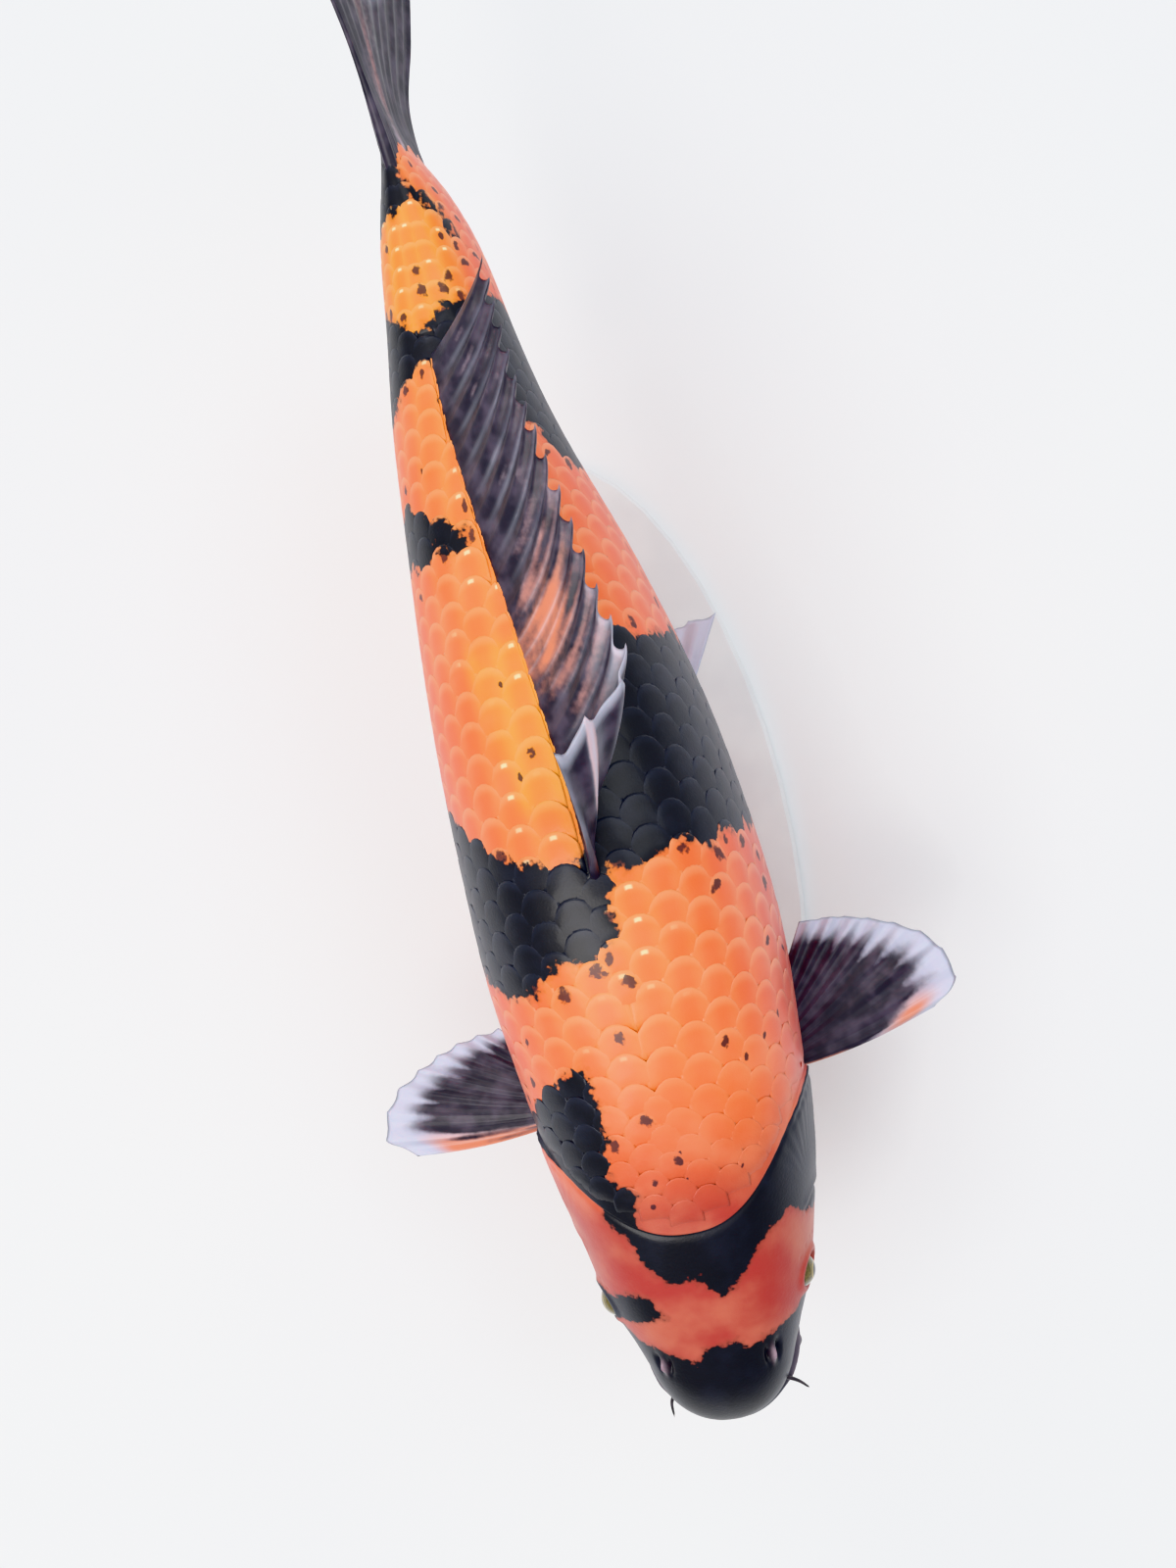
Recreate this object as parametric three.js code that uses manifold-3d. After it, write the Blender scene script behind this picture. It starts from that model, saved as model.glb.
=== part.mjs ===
// Koi carp, life size, as a still model on a plain display stand.
// Millimetres, +Z up. The fish faces -Y, its left side is +X, and the origin is the
// centre of the stand's underside.
//
// A place on the body is given by its station, 0 at the snout and 1 at the root of the
// tail fin, and by an angle round the section, 0 at the fish's left and 90 degrees at
// the back. Sizes that scale with the fish are fractions of its standard length.

import * as THREE from 'three';
import * as BufferGeometryUtils from 'three/addons/utils/BufferGeometryUtils.js';
import Module from 'manifold-3d';

const wasm = await Module();
wasm.setup();

// ---------------------------------------------------------------- driving dimensions

const STANDARD_LENGTH = 500;        // snout to root of the tail fin
const AXIS_HEIGHT = 135;            // body axis above the underside of the stand
const STAND_STATION = 0.46;         // station over the centre of the stand
const GAP = 0.3;                    // left between two pieces that meet

const SIDES = 28;                   // facets round the body
const NOSE_ROUNDING = 0.045;        // length over which the snout closes
const NOSE_LEVEL = -0.012;          // height of the snout's foremost point

const EYE_RADIUS = 7.4;
const EYE_STATION = 0.112;
const EYE_LATERAL = 34.0;
const EYE_LEVEL = 9.0;

const BASE_LENGTH = 320;
const BASE_WIDTH = 136;
const BASE_THICKNESS = 8;
const BASE_CHAMFER = 1.5;
const ROD_RADIUS = 4;
const ROD_STATIONS = { front: 0.35, rear: 0.60 };
const ROD_SOCKET_DEPTH = 12;        // how far a rod goes into the belly
const COLLAR_RADIUS = 9;
const COLLAR_HEIGHT = 5;

const DEGREE = Math.PI / 180;

// ---------------------------------------------------------------- curves

/** A smooth curve through a few knots, each [place, value], held at its ends. */
function curve(...knots) {
  const last = knots.length - 1;
  const slopes = knots.map((knot, i) => {
    const before = knots[Math.max(i - 1, 0)];
    const after = knots[Math.min(i + 1, last)];
    return (after[1] - before[1]) / (after[0] - before[0]);
  });
  return (place) => {
    const x = Math.min(Math.max(place, knots[0][0]), knots[last][0]);
    let i = 0;
    while (i < last - 1 && x > knots[i + 1][0]) i += 1;
    const span = knots[i + 1][0] - knots[i][0];
    const t = (x - knots[i][0]) / span;
    return knots[i][1] * (1 + 2 * t) * (1 - t) ** 2
      + slopes[i] * span * t * (1 - t) ** 2
      + knots[i + 1][1] * t * t * (3 - 2 * t)
      + slopes[i + 1] * span * t * t * (t - 1);
  };
}

// The body's form, all as fractions of the standard length, by station.
const halfWidth = curve([0, 0.049], [0.035, 0.052], [0.07, 0.0635], [0.105, 0.0765],
  [0.15, 0.088], [0.21, 0.099], [0.28, 0.107], [0.37, 0.114], [0.46, 0.111],
  [0.55, 0.103], [0.65, 0.0872], [0.75, 0.0665], [0.85, 0.048], [0.92, 0.037],
  [0.96, 0.026], [1, 0.0105]);
const backHeight = curve([0, 0.023], [0.05, 0.043], [0.10, 0.068], [0.155, 0.0925],
  [0.22, 0.117], [0.30, 0.139], [0.40, 0.154], [0.47, 0.156], [0.58, 0.140],
  [0.70, 0.113], [0.80, 0.087], [0.90, 0.068], [1, 0.065]);
const bellyDepth = curve([0, 0.042], [0.05, 0.063], [0.10, 0.079], [0.16, 0.099],
  [0.23, 0.119], [0.32, 0.137], [0.42, 0.148], [0.52, 0.147], [0.62, 0.133],
  [0.72, 0.109], [0.80, 0.086], [0.90, 0.064], [1, 0.062]);
const widestLevel = curve([0, -0.018], [0.15, -0.010], [0.3, 0], [0.6, 0.005], [1, 0]);
const squareness = curve([0, 2.5], [0.1, 2.5], [0.2, 2.35], [0.35, 2.2], [0.6, 2.1], [1, 2]);

// The swimming bend of the body axis towards the fish's left.
const bend = curve([0, 0.001], [0.05, 0.0078], [0.10, 0.0125], [0.20, 0.019],
  [0.35, 0.0213], [0.5, 0.0188], [0.64, 0.011], [0.78, 0.001], [0.9, 0.0022],
  [0.96, 0.0018], [1, -0.0005], [1.06, -0.0016], [1.13, 0.0035], [1.22, 0.012]);

// The roll of the body about its axis, in degrees, the back towards the fish's right.
const roll = curve([0.45, 0], [0.62, 3], [0.75, 6], [0.85, 8], [0.95, 6], [1, 3.2],
  [1.06, 4], [1.12, 9], [1.22, 12.5]);

/** Where the head ends: a U over the nape, then the rear edge of the gill covers. */
function headEnd(angle) {
  const nape = 0.166;
  const throat = 0.184;
  const widest = 0.254;
  const middle = Math.sin(angle) >= 0 ? nape : throat;
  return middle + (widest - middle) * Math.cos(angle) ** 2;
}

// ---------------------------------------------------------------- places on the body

/** The axis at a station: its x and y, and how far its tangent turns from +Y. */
function axisAt(station) {
  const step = 0.002;
  const slope = (bend(station + step) - bend(station - step)) / (2 * step);
  return {
    x: STANDARD_LENGTH * (bend(station) - bend(STAND_STATION)),
    y: STANDARD_LENGTH * (station - STAND_STATION),
    turn: Math.atan(slope),
  };
}

/** A point beside the axis: lateral to the fish's left, height towards its back. */
function place(station, lateral, height) {
  const { x, y, turn } = axisAt(station);
  const lean = roll(station) * DEGREE;
  const across = lateral * Math.cos(lean) - height * Math.sin(lean);
  const up = height * Math.cos(lean) + lateral * Math.sin(lean);
  return new THREE.Vector3(
    x + Math.cos(turn) * across,
    y - Math.sin(turn) * across,
    AXIS_HEIGHT + up,
  );
}

/** A point on the skin, or the given distance outside it. */
function skinPoint(station, angle, outside = 0) {
  const closing = Math.sqrt(1 - (1 - Math.min(station / NOSE_ROUNDING, 1)) ** 2);
  const power = 2 / squareness(station);
  const level = widestLevel(station);
  const reach = Math.sin(angle) >= 0 ? backHeight(station) - level : bellyDepth(station) + level;
  const across = Math.sign(Math.cos(angle)) * Math.abs(Math.cos(angle)) ** power;
  const up = Math.sign(Math.sin(angle)) * Math.abs(Math.sin(angle)) ** power;
  const lateral = STANDARD_LENGTH * halfWidth(station) * closing * across;
  const height = STANDARD_LENGTH * (NOSE_LEVEL + (level + reach * up - NOSE_LEVEL) * closing);
  return place(station, lateral + outside * Math.cos(angle), height + outside * Math.sin(angle));
}

// ---------------------------------------------------------------- closed meshes

/** A geometry from points and triangles given by index. */
function geometryOf(points, triangles) {
  const geometry = new THREE.BufferGeometry();
  geometry.setAttribute('position', new THREE.Float32BufferAttribute(
    points.flatMap((point) => [point.x, point.y, point.z]), 3));
  geometry.setIndex(triangles);
  return geometry;
}

/** A closed solid through rings of equal count, its two ends closed to a centre. */
function loft(rings, firstCentre, lastCentre) {
  const count = rings[0].length;
  const points = rings.flat();
  const triangles = [];
  for (let i = 0; i + 1 < rings.length; i += 1) {
    for (let j = 0; j < count; j += 1) {
      const a = i * count + j;
      const b = i * count + (j + 1) % count;
      triangles.push(a, a + count, b, b, a + count, b + count);
    }
  }
  const first = points.push(firstCentre) - 1;
  const last = points.push(lastCentre) - 1;
  const lastRing = (rings.length - 1) * count;
  for (let j = 0; j < count; j += 1) {
    const next = (j + 1) % count;
    triangles.push(first, j, next);
    triangles.push(last, lastRing + next, lastRing + j);
  }
  return outward(geometryOf(points, triangles));
}

/** Turns a closed mesh's faces outwards where its enclosed volume comes out negative. */
function outward(geometry) {
  const index = geometry.index.array;
  const corner = (i) => new THREE.Vector3().fromBufferAttribute(geometry.attributes.position, i);
  let volume = 0;
  for (let i = 0; i < index.length; i += 3) {
    volume += corner(index[i]).dot(corner(index[i + 1]).cross(corner(index[i + 2])));
  }
  if (volume < 0) {
    for (let i = 0; i < index.length; i += 3) {
      [index[i], index[i + 1]] = [index[i + 1], index[i]];
    }
  }
  return geometry;
}

/** A plate of uneven thickness about a surface point(u, v), both from 0 to 1. */
function plate(point, thickness, across, along) {
  const step = 0.004;
  const faces = [1, -1].map((side) => {
    const rows = [];
    for (let i = 0; i <= across; i += 1) {
      for (let j = 0; j <= along; j += 1) {
        const u = i / across;
        const v = j / along;
        const acrossWay = point(Math.min(u + step, 1), v).sub(point(Math.max(u - step, 0), v));
        const alongWay = point(u, Math.min(v + step, 1)).sub(point(u, Math.max(v - step, 0)));
        const normal = acrossWay.cross(alongWay).normalize();
        rows.push(point(u, v).addScaledVector(normal, side * thickness(u, v) / 2));
      }
    }
    return rows;
  });
  const points = faces.flat();
  const width = along + 1;
  const under = faces[0].length;
  const triangles = [];
  for (let i = 0; i < across; i += 1) {
    for (let j = 0; j < along; j += 1) {
      const a = i * width + j;
      const b = a + width;
      triangles.push(a, b, a + 1, a + 1, b, b + 1);
      triangles.push(under + a, under + a + 1, under + b, under + b, under + a + 1, under + b + 1);
    }
  }
  const rim = [];
  for (let i = 0; i < across; i += 1) rim.push(i * width);
  for (let j = 0; j < along; j += 1) rim.push(across * width + j);
  for (let i = across; i > 0; i -= 1) rim.push(i * width + along);
  for (let j = along; j > 0; j -= 1) rim.push(j);
  rim.forEach((a, k) => {
    const b = rim[(k + 1) % rim.length];
    triangles.push(a, under + a, b, b, under + a, under + b);
  });
  return outward(geometryOf(points, triangles));
}

/** A tapering feeler along a path of points, pointed at its far end. */
function feeler(path, rootRadius, tipRadius) {
  const steps = 6;
  const facets = 6;
  const line = new THREE.CatmullRomCurve3(path);
  const frames = line.computeFrenetFrames(steps);
  const rings = [];
  for (let i = 0; i <= steps; i += 1) {
    const radius = THREE.MathUtils.lerp(rootRadius, tipRadius, i / steps);
    const centre = line.getPointAt(i / steps);
    rings.push(Array.from({ length: facets }, (_, k) => {
      const angle = 2 * Math.PI * k / facets;
      return centre.clone()
        .addScaledVector(frames.normals[i], radius * Math.cos(angle))
        .addScaledVector(frames.binormals[i], radius * Math.sin(angle));
    }));
  }
  return loft(rings, line.getPointAt(0), line.getPointAt(1));
}

// ---------------------------------------------------------------- joins and cuts

function solidOf(geometry) {
  const bare = geometry.clone();
  bare.deleteAttribute('normal');
  bare.deleteAttribute('uv');
  const merged = BufferGeometryUtils.mergeVertices(bare, 1e-4);
  return new wasm.Manifold(new wasm.Mesh({
    numProp: 3,
    vertProperties: new Float32Array(merged.attributes.position.array),
    triVerts: new Uint32Array(merged.index.array),
  }));
}

function geometryFrom(solid) {
  const mesh = solid.getMesh();
  const geometry = new THREE.BufferGeometry();
  geometry.setAttribute('position', new THREE.Float32BufferAttribute(mesh.vertProperties, 3));
  geometry.setIndex(Array.from(mesh.triVerts));
  return geometry;
}

/** The largest body of a cut solid, without the slivers that a cut can leave. */
function largest(solid) {
  return solid.decompose().sort((a, b) => b.volume() - a.volume())[0];
}

/** A block across the fish whose side view is an outline of [station, height] points. */
function sideBlock(outline, margin) {
  const y = (station) => STANDARD_LENGTH * (station - STAND_STATION);
  const corners = outline.map(([station, height]) => new THREE.Vector2(
    y(station), AXIS_HEIGHT + STANDARD_LENGTH * height));
  const shape = new THREE.Shape(corners.map((corner, i) => {
    const before = corners[(i + corners.length - 1) % corners.length];
    const after = corners[(i + 1) % corners.length];
    const normalIn = corner.clone().sub(before).normalize().rotateAround(new THREE.Vector2(), -90 * DEGREE);
    const normalOut = after.clone().sub(corner).normalize().rotateAround(new THREE.Vector2(), -90 * DEGREE);
    const way = normalIn.clone().add(normalOut);
    return corner.clone().addScaledVector(way, margin / (1 + normalIn.dot(normalOut)));
  }));
  const depth = STANDARD_LENGTH / 2;
  const block = new THREE.ExtrudeGeometry(shape, { depth, bevelEnabled: false, steps: 1 });
  block.translate(0, 0, -depth / 2);
  block.applyMatrix4(new THREE.Matrix4().makeBasis(
    new THREE.Vector3(0, 1, 0), new THREE.Vector3(0, 0, 1), new THREE.Vector3(1, 0, 0)));
  return solidOf(block);
}

// ---------------------------------------------------------------- materials

function finish(color, roughness, metalness = 0) {
  return new THREE.MeshStandardMaterial({ color, roughness, metalness });
}

const FLESH = finish(0xe8703a, 0.35);
const HEAD_SKIN = finish(0xc8483a, 0.35);
const DARK_SKIN = finish(0x1d1b24, 0.35);
const FIN = finish(0x4a4350, 0.4);
const PALE_FIN = finish(0xb9b4c0, 0.4);
const EYE = finish(0x2a2412, 0.1);
const BASE_PAINT = finish(0xd9dadb, 0.5);
const STEEL = finish(0xa9acb0, 0.3, 1);

const koi = new THREE.Group();

function add(name, geometry, material) {
  const mesh = new THREE.Mesh(geometry, material);
  mesh.name = name;
  koi.add(mesh);
  return mesh;
}

// ---------------------------------------------------------------- trunk and tail stalk

/** A length of the body between two ends, each a station for every angle. */
function bodyLength(front, back, steps, frontCentre, backCentre, outside = 0) {
  const rings = [];
  for (let i = 0; i <= steps; i += 1) {
    rings.push(Array.from({ length: SIDES }, (_, j) => {
      const angle = 2 * Math.PI * j / SIDES;
      return skinPoint(THREE.MathUtils.lerp(front(angle), back(angle), i / steps), angle, outside);
    }));
  }
  return loft(rings, frontCentre, backCentre);
}

const HALF_GAP = GAP / 2 / STANDARD_LENGTH;
const HEAD_CENTRE_STATION = 0.19;
const TRUNK_CUTS = [0.42, 0.60, 0.80];

const rodSolids = {};
for (const [name, station] of Object.entries(ROD_STATIONS)) {
  const top = place(station, 0, -STANDARD_LENGTH * bellyDepth(station) + ROD_SOCKET_DEPTH);
  const low = BASE_THICKNESS + GAP;
  const profile = [[0, low], [COLLAR_RADIUS, low], [COLLAR_RADIUS, low + COLLAR_HEIGHT - 1],
    [COLLAR_RADIUS - 1, low + COLLAR_HEIGHT], [ROD_RADIUS, low + COLLAR_HEIGHT],
    [ROD_RADIUS, top.z], [0, top.z]];
  const rod = new THREE.LatheGeometry(profile.map(([r, z]) => new THREE.Vector2(r, z)), 16);
  rod.rotateX(90 * DEGREE);
  rod.translate(top.x, top.y, 0);
  const bore = new THREE.CylinderGeometry(ROD_RADIUS + GAP, ROD_RADIUS + GAP, top.z + GAP, 16);
  bore.rotateX(90 * DEGREE);
  bore.translate(top.x, top.y, (top.z + GAP) / 2);
  rodSolids[name] = { rod, bore: solidOf(bore) };
}

function trunkPiece(name, front, back, steps) {
  const whole = bodyLength(
    front.at, back.at, steps, place(front.centre, 0, 0), place(back.centre, 0, 0));
  let solid = solidOf(whole);
  for (const { bore } of Object.values(rodSolids)) solid = solid.subtract(bore);
  add(name, geometryFrom(solid), FLESH);
}

const cut = (station, side) => ({
  at: () => station + side * HALF_GAP,
  centre: station + side * HALF_GAP,
});
const nape = (side) => ({
  at: (angle) => headEnd(angle) + side * HALF_GAP,
  centre: HEAD_CENTRE_STATION + side * HALF_GAP,
});

trunkPiece('trunk_front', nape(1), cut(TRUNK_CUTS[0], -1), 7);
trunkPiece('trunk_middle', cut(TRUNK_CUTS[0], 1), cut(TRUNK_CUTS[1], -1), 5);
trunkPiece('trunk_rear', cut(TRUNK_CUTS[1], 1), cut(TRUNK_CUTS[2], -1), 6);
trunkPiece('tail_stalk', cut(TRUNK_CUTS[2], 1), cut(1, -1), 6);

// ---------------------------------------------------------------- head

const SNOUT_TIP = 0.0008;
const COVER_PROUD = 0.8;            // gill cover above the skin of the cheek
const COVER_DEPTH = 4;              // gill cover below it
const COVER_FRONT = 0.152;
const COVER_ANGLES = [-58 * DEGREE, 26 * DEGREE];

const MOUTH_FRONT = [-0.03, -0.020];
const MOUTH_CORNER = [0.056, -0.036];
const LOWER_JAW = [[-0.03, -0.13], [0.088, -0.13], MOUTH_CORNER, MOUTH_FRONT];
const UPPER_LIP = [MOUTH_FRONT, MOUTH_CORNER, [0.050, -0.020], [0.014, 0.002], [-0.03, 0.002]];

function headForm(outside) {
  const rings = [];
  const steps = 15;
  for (let i = 0; i <= steps; i += 1) {
    const along = (i / steps) ** 1.6;
    rings.push(Array.from({ length: SIDES }, (_, j) => {
      const angle = 2 * Math.PI * j / SIDES;
      const end = headEnd(angle) - HALF_GAP;
      return skinPoint(THREE.MathUtils.lerp(SNOUT_TIP, end, along), angle, outside);
    }));
  }
  const tip = rings[0].reduce((sum, point) => sum.add(point), new THREE.Vector3());
  return loft(rings, tip.divideScalar(SIDES), place(HEAD_CENTRE_STATION - HALF_GAP, 0, 0));
}

/** A gill cover: a rounded plate on one cheek, or the pocket it lies in. */
function gillCover(side, margin, proud) {
  const [low, high] = COVER_ANGLES;
  const marginAngle = margin / (STANDARD_LENGTH * halfWidth(0.2));
  const marginStation = margin / STANDARD_LENGTH;
  const spot = (u, v, outside) => {
    const angle = THREE.MathUtils.lerp(low - marginAngle, high + marginAngle, u);
    const rounding = 0.020 * (2 * u - 1) ** 4;
    const front = COVER_FRONT - marginStation + rounding;
    const back = headEnd(angle) - 0.0015 + marginStation - 0.6 * rounding;
    const station = THREE.MathUtils.lerp(front, back, v);
    return skinPoint(station, side > 0 ? angle : Math.PI - angle, outside);
  };
  const middle = (proud - COVER_DEPTH - margin) / 2;
  return plate((u, v) => spot(u, v, middle), () => proud + COVER_DEPTH + margin, 8, 4);
}

function buildHead() {
  let skull = solidOf(headForm(0));
  const whole = skull;
  const pieces = [];
  for (const [side, word] of [[1, 'left'], [-1, 'right']]) {
    const cover = solidOf(gillCover(side, 0, COVER_PROUD)).intersect(solidOf(headForm(COVER_PROUD)));
    skull = skull.subtract(solidOf(gillCover(side, 2 * GAP, COVER_PROUD + 3)));
    pieces.push([`gill_cover_${word}`, geometryFrom(largest(cover)), FLESH]);

    const centre = place(EYE_STATION, side * EYE_LATERAL, EYE_LEVEL);
    const ball = new THREE.SphereGeometry(EYE_RADIUS, 14, 9).translate(...centre);
    const socket = new THREE.SphereGeometry(EYE_RADIUS + GAP, 14, 9).translate(...centre);
    skull = skull.subtract(solidOf(socket));
    pieces.push([`eye_${word}`, ball, EYE]);

    const nostril = new THREE.SphereGeometry(1, 8, 6).scale(2.2, 2.8, 2.0);
    const spot = skinPoint(0.054, side > 0 ? 46 * DEGREE : 134 * DEGREE);
    nostril.translate(spot.x, spot.y, spot.z + 0.6);
    const flap = solidOf(nostril).subtract(solidOf(headForm(GAP)));
    pieces.push([`nostril_flap_${word}`, geometryFrom(flap), PALE_FIN]);
  }
  pieces.push(['lower_jaw', geometryFrom(whole.intersect(sideBlock(LOWER_JAW, -GAP / 2))), DARK_SKIN]);
  pieces.push(['upper_lip', geometryFrom(whole.intersect(sideBlock(UPPER_LIP, -GAP / 2))), DARK_SKIN]);
  skull = skull.subtract(sideBlock(LOWER_JAW, GAP / 2));
  skull = skull.subtract(sideBlock(UPPER_LIP, GAP / 2));
  add('head', geometryFrom(largest(skull)), HEAD_SKIN);
  for (const [name, geometry, material] of pieces) add(name, geometry, material);
}

buildHead();

// ---------------------------------------------------------------- barbels

// Each path is a few [station, distance out, height] points. All the barbels trail a
// little to the fish's left, as if in a current.
const BARBELS = {
  snout_barbel_left: [1, [[0.031, 17, -7.5], [0.028, 21, -9], [0.022, 25.5, -11.5],
    [0.0135, 28.5, -15]]],
  snout_barbel_right: [-1, [[0.031, 17, -7.5], [0.026, 20, -9], [0.014, 24, -11.5],
    [0.001, 25, -14]]],
  mouth_barbel_left: [1, [[0.052, 27, -17.5], [0.046, 29.5, -21], [0.039, 29, -26],
    [0.033, 27, -33], [0.030, 24, -40]]],
  mouth_barbel_right: [-1, [[0.052, 26, -17.5], [0.046, 28.5, -21], [0.039, 28.5, -26],
    [0.033, 27, -33], [0.029, 25, -40]]],
};
const BARBEL_SWAY = 3;

for (const [name, [side, path]] of Object.entries(BARBELS)) {
  const points = path.map(([station, out, height], i) => place(
    station, side * out + BARBEL_SWAY * i / path.length, height));
  const whole = solidOf(feeler(points, 1.3, 0.4));
  const clear = whole.subtract(solidOf(headForm(GAP)));
  add(name, geometryFrom(largest(clear)), DARK_SKIN);
}

// ---------------------------------------------------------------- fins

/** A fin between a root line and a line of tips, both given along the fin from 0 to 1. */
function fin(name, material, { root, tip, rootThickness, edgeThickness, rays, steps, hollow = 0 }) {
  const point = (u, v) => {
    const reach = v * (1 - hollow * v * Math.sin(Math.PI * u) ** 2);
    return root(u).lerp(tip(u), reach);
  };
  const thickness = (u, v) => edgeThickness + (rootThickness - edgeThickness) * (1 - v) ** 2;
  let solid = solidOf(plate(point, thickness, rays, steps));
  return { name, material, solid };
}

const bodyGrown = solidOf(bodyLength(
  cut(0.22, 1).at, cut(1, 1).at, 22, place(0.22, 0, 0), place(cut(1, 1).centre, 0, 0), GAP));

function addFin(made) {
  add(made.name, geometryFrom(largest(made.solid.subtract(bodyGrown))), made.material);
}

// Dorsal fin: its front ray stands up, the rest lie over to the fish's left and back.
const DORSAL_STATIONS = [0.432, 0.836];
const dorsalBack = curve([0, 48], [0.12, 42], [0.3, 40], [0.6, 40], [0.85, 34], [1, 27]);
const dorsalLeft = curve([0, 5], [0.06, 19], [0.14, 41], [0.3, 40], [0.6, 38], [0.85, 34], [1, 30]);
const dorsalUp = curve([0, 40], [0.06, 36], [0.14, 27], [0.3, 22], [0.6, 19], [0.85, 15], [1, 13]);
const dorsalStation = (u) => THREE.MathUtils.lerp(...DORSAL_STATIONS, u);
const ridge = (station, above) => place(station, 0, STANDARD_LENGTH * backHeight(station) + above);

addFin(fin('dorsal_fin', FIN, {
  root: (u) => ridge(dorsalStation(u), -1),
  tip: (u) => {
    const station = dorsalStation(u) + dorsalBack(u) / STANDARD_LENGTH;
    const height = STANDARD_LENGTH * backHeight(dorsalStation(u)) + dorsalUp(u);
    return place(station, dorsalLeft(u), height);
  },
  rootThickness: 3.2,
  edgeThickness: 0.8,
  rays: 22,
  steps: 4,
}));

// Anal fin, under the tail stalk.
const ANAL_STATIONS = [0.755, 0.835];
addFin(fin('anal_fin', FIN, {
  root: (u) => {
    const station = THREE.MathUtils.lerp(...ANAL_STATIONS, u);
    return place(station, 0, 2 - STANDARD_LENGTH * bellyDepth(station));
  },
  tip: (u) => place(
    curve([0, 0.842], [0.3, 0.868], [1, 0.892])(u), 0,
    -curve([0, 92], [0.3, 88], [0.7, 70], [1, 54])(u)),
  rootThickness: 3,
  edgeThickness: 0.8,
  rays: 8,
  steps: 4,
}));

// Paired fins.
const pectoralTipBack = curve([0, 8], [0.12, 17], [0.3, 33], [0.5, 43], [0.75, 50], [1, 52]);
const pectoralTipOut = curve([0, 106], [0.12, 117], [0.3, 112], [0.5, 98], [0.75, 80], [1, 62]);
const pectoralTipDrop = curve([0, 39], [0.5, 42], [1, 41]);
const pelvicTipBack = curve([0, 60], [0.35, 66], [1, 50]);
const pelvicTipOut = curve([0, 59], [0.35, 49], [1, 19]);
// The right pectoral fin is held further forward and out than the left.
const PECTORAL_STROKES = { left: { forward: 0, out: 0 }, right: { forward: 13, out: 3 } };

for (const [side, hand] of [[1, 'left'], [-1, 'right']]) {
  const stroke = PECTORAL_STROKES[hand];
  addFin(fin(`pectoral_fin_${hand}`, FIN, {
    root: (u) => place(
      0.246 + 0.024 * u, side * THREE.MathUtils.lerp(44, 38, u), -THREE.MathUtils.lerp(28, 33, u)),
    tip: (u) => place(
      0.25 + (pectoralTipBack(u) - stroke.forward) / STANDARD_LENGTH,
      side * (pectoralTipOut(u) + stroke.out), -pectoralTipDrop(u)),
    rootThickness: 4,
    edgeThickness: 0.8,
    rays: 10,
    steps: 5,
  }));
  addFin(fin(`pelvic_fin_${hand}`, PALE_FIN, {
    root: (u) => place(0.478 + 0.022 * u, side * THREE.MathUtils.lerp(20, 13, u), -67 - 3 * u),
    tip: (u) => place(0.48 + pelvicTipBack(u) / STANDARD_LENGTH, side * pelvicTipOut(u), -80 - 4 * u),
    rootThickness: 3.5,
    edgeThickness: 0.8,
    rays: 8,
    steps: 5,
  }));
}

// Tail fin, in two lobes that part at the fork. The lower lobe curls to the fish's right.
const LOWER_CURL = 3 * DEGREE;
const lobeBack = curve([0, 1.203], [0.14, 1.207], [0.4, 1.172], [0.7, 1.142], [1, 1.128]);
const lobeOut = curve([0, 76], [0.14, 69], [0.4, 44], [0.7, 20], [1, 1.5]);

function tailPlace(station, height) {
  const curl = Math.tan(LOWER_CURL) * Math.min(height, 0) * (station - 1) / 0.12;
  return place(station, curl, height);
}

for (const [up, word] of [[1, 'upper'], [-1, 'lower']]) {
  addFin(fin(`tail_fin_${word}_lobe`, FIN, {
    root: (u) => tailPlace(0.994, up * THREE.MathUtils.lerp(31, 0.4, u)),
    tip: (u) => tailPlace(lobeBack(u), up * lobeOut(u)),
    rootThickness: 10,
    edgeThickness: 0.9,
    rays: 8,
    steps: 6,
  }));
}

// ---------------------------------------------------------------- display stand

function standBase() {
  const outline = new THREE.Shape();
  const length = BASE_LENGTH / 2 - BASE_CHAMFER;
  const width = BASE_WIDTH / 2 - BASE_CHAMFER;
  outline.absellipse(0, 0, width, length, 0, 2 * Math.PI);
  const base = new THREE.ExtrudeGeometry(outline, {
    depth: BASE_THICKNESS - 2 * BASE_CHAMFER,
    bevelThickness: BASE_CHAMFER,
    bevelSize: BASE_CHAMFER,
    bevelSegments: 1,
    curveSegments: 20,
  });
  return base.translate(0, 0, BASE_CHAMFER);
}

add('stand_base', standBase(), BASE_PAINT);
for (const [name, { rod }] of Object.entries(rodSolids)) add(`stand_rod_${name}`, rod, STEEL);

export default koi;
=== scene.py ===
# %% [markdown]
# # A koi carp, life size, on a display stand
#
# The imported solids give the fish's true sizes and places. This script builds the looks
# around them: one smooth skin, about eleven hundred scales, fins with their rays, eyes,
# barbels and the finishes of the stand. The solids stay as the frame that the looks
# have to fit.

# %% Load the frame
import math

import bmesh
import bpy
import numpy as np
from mathutils import Matrix, Vector


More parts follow.
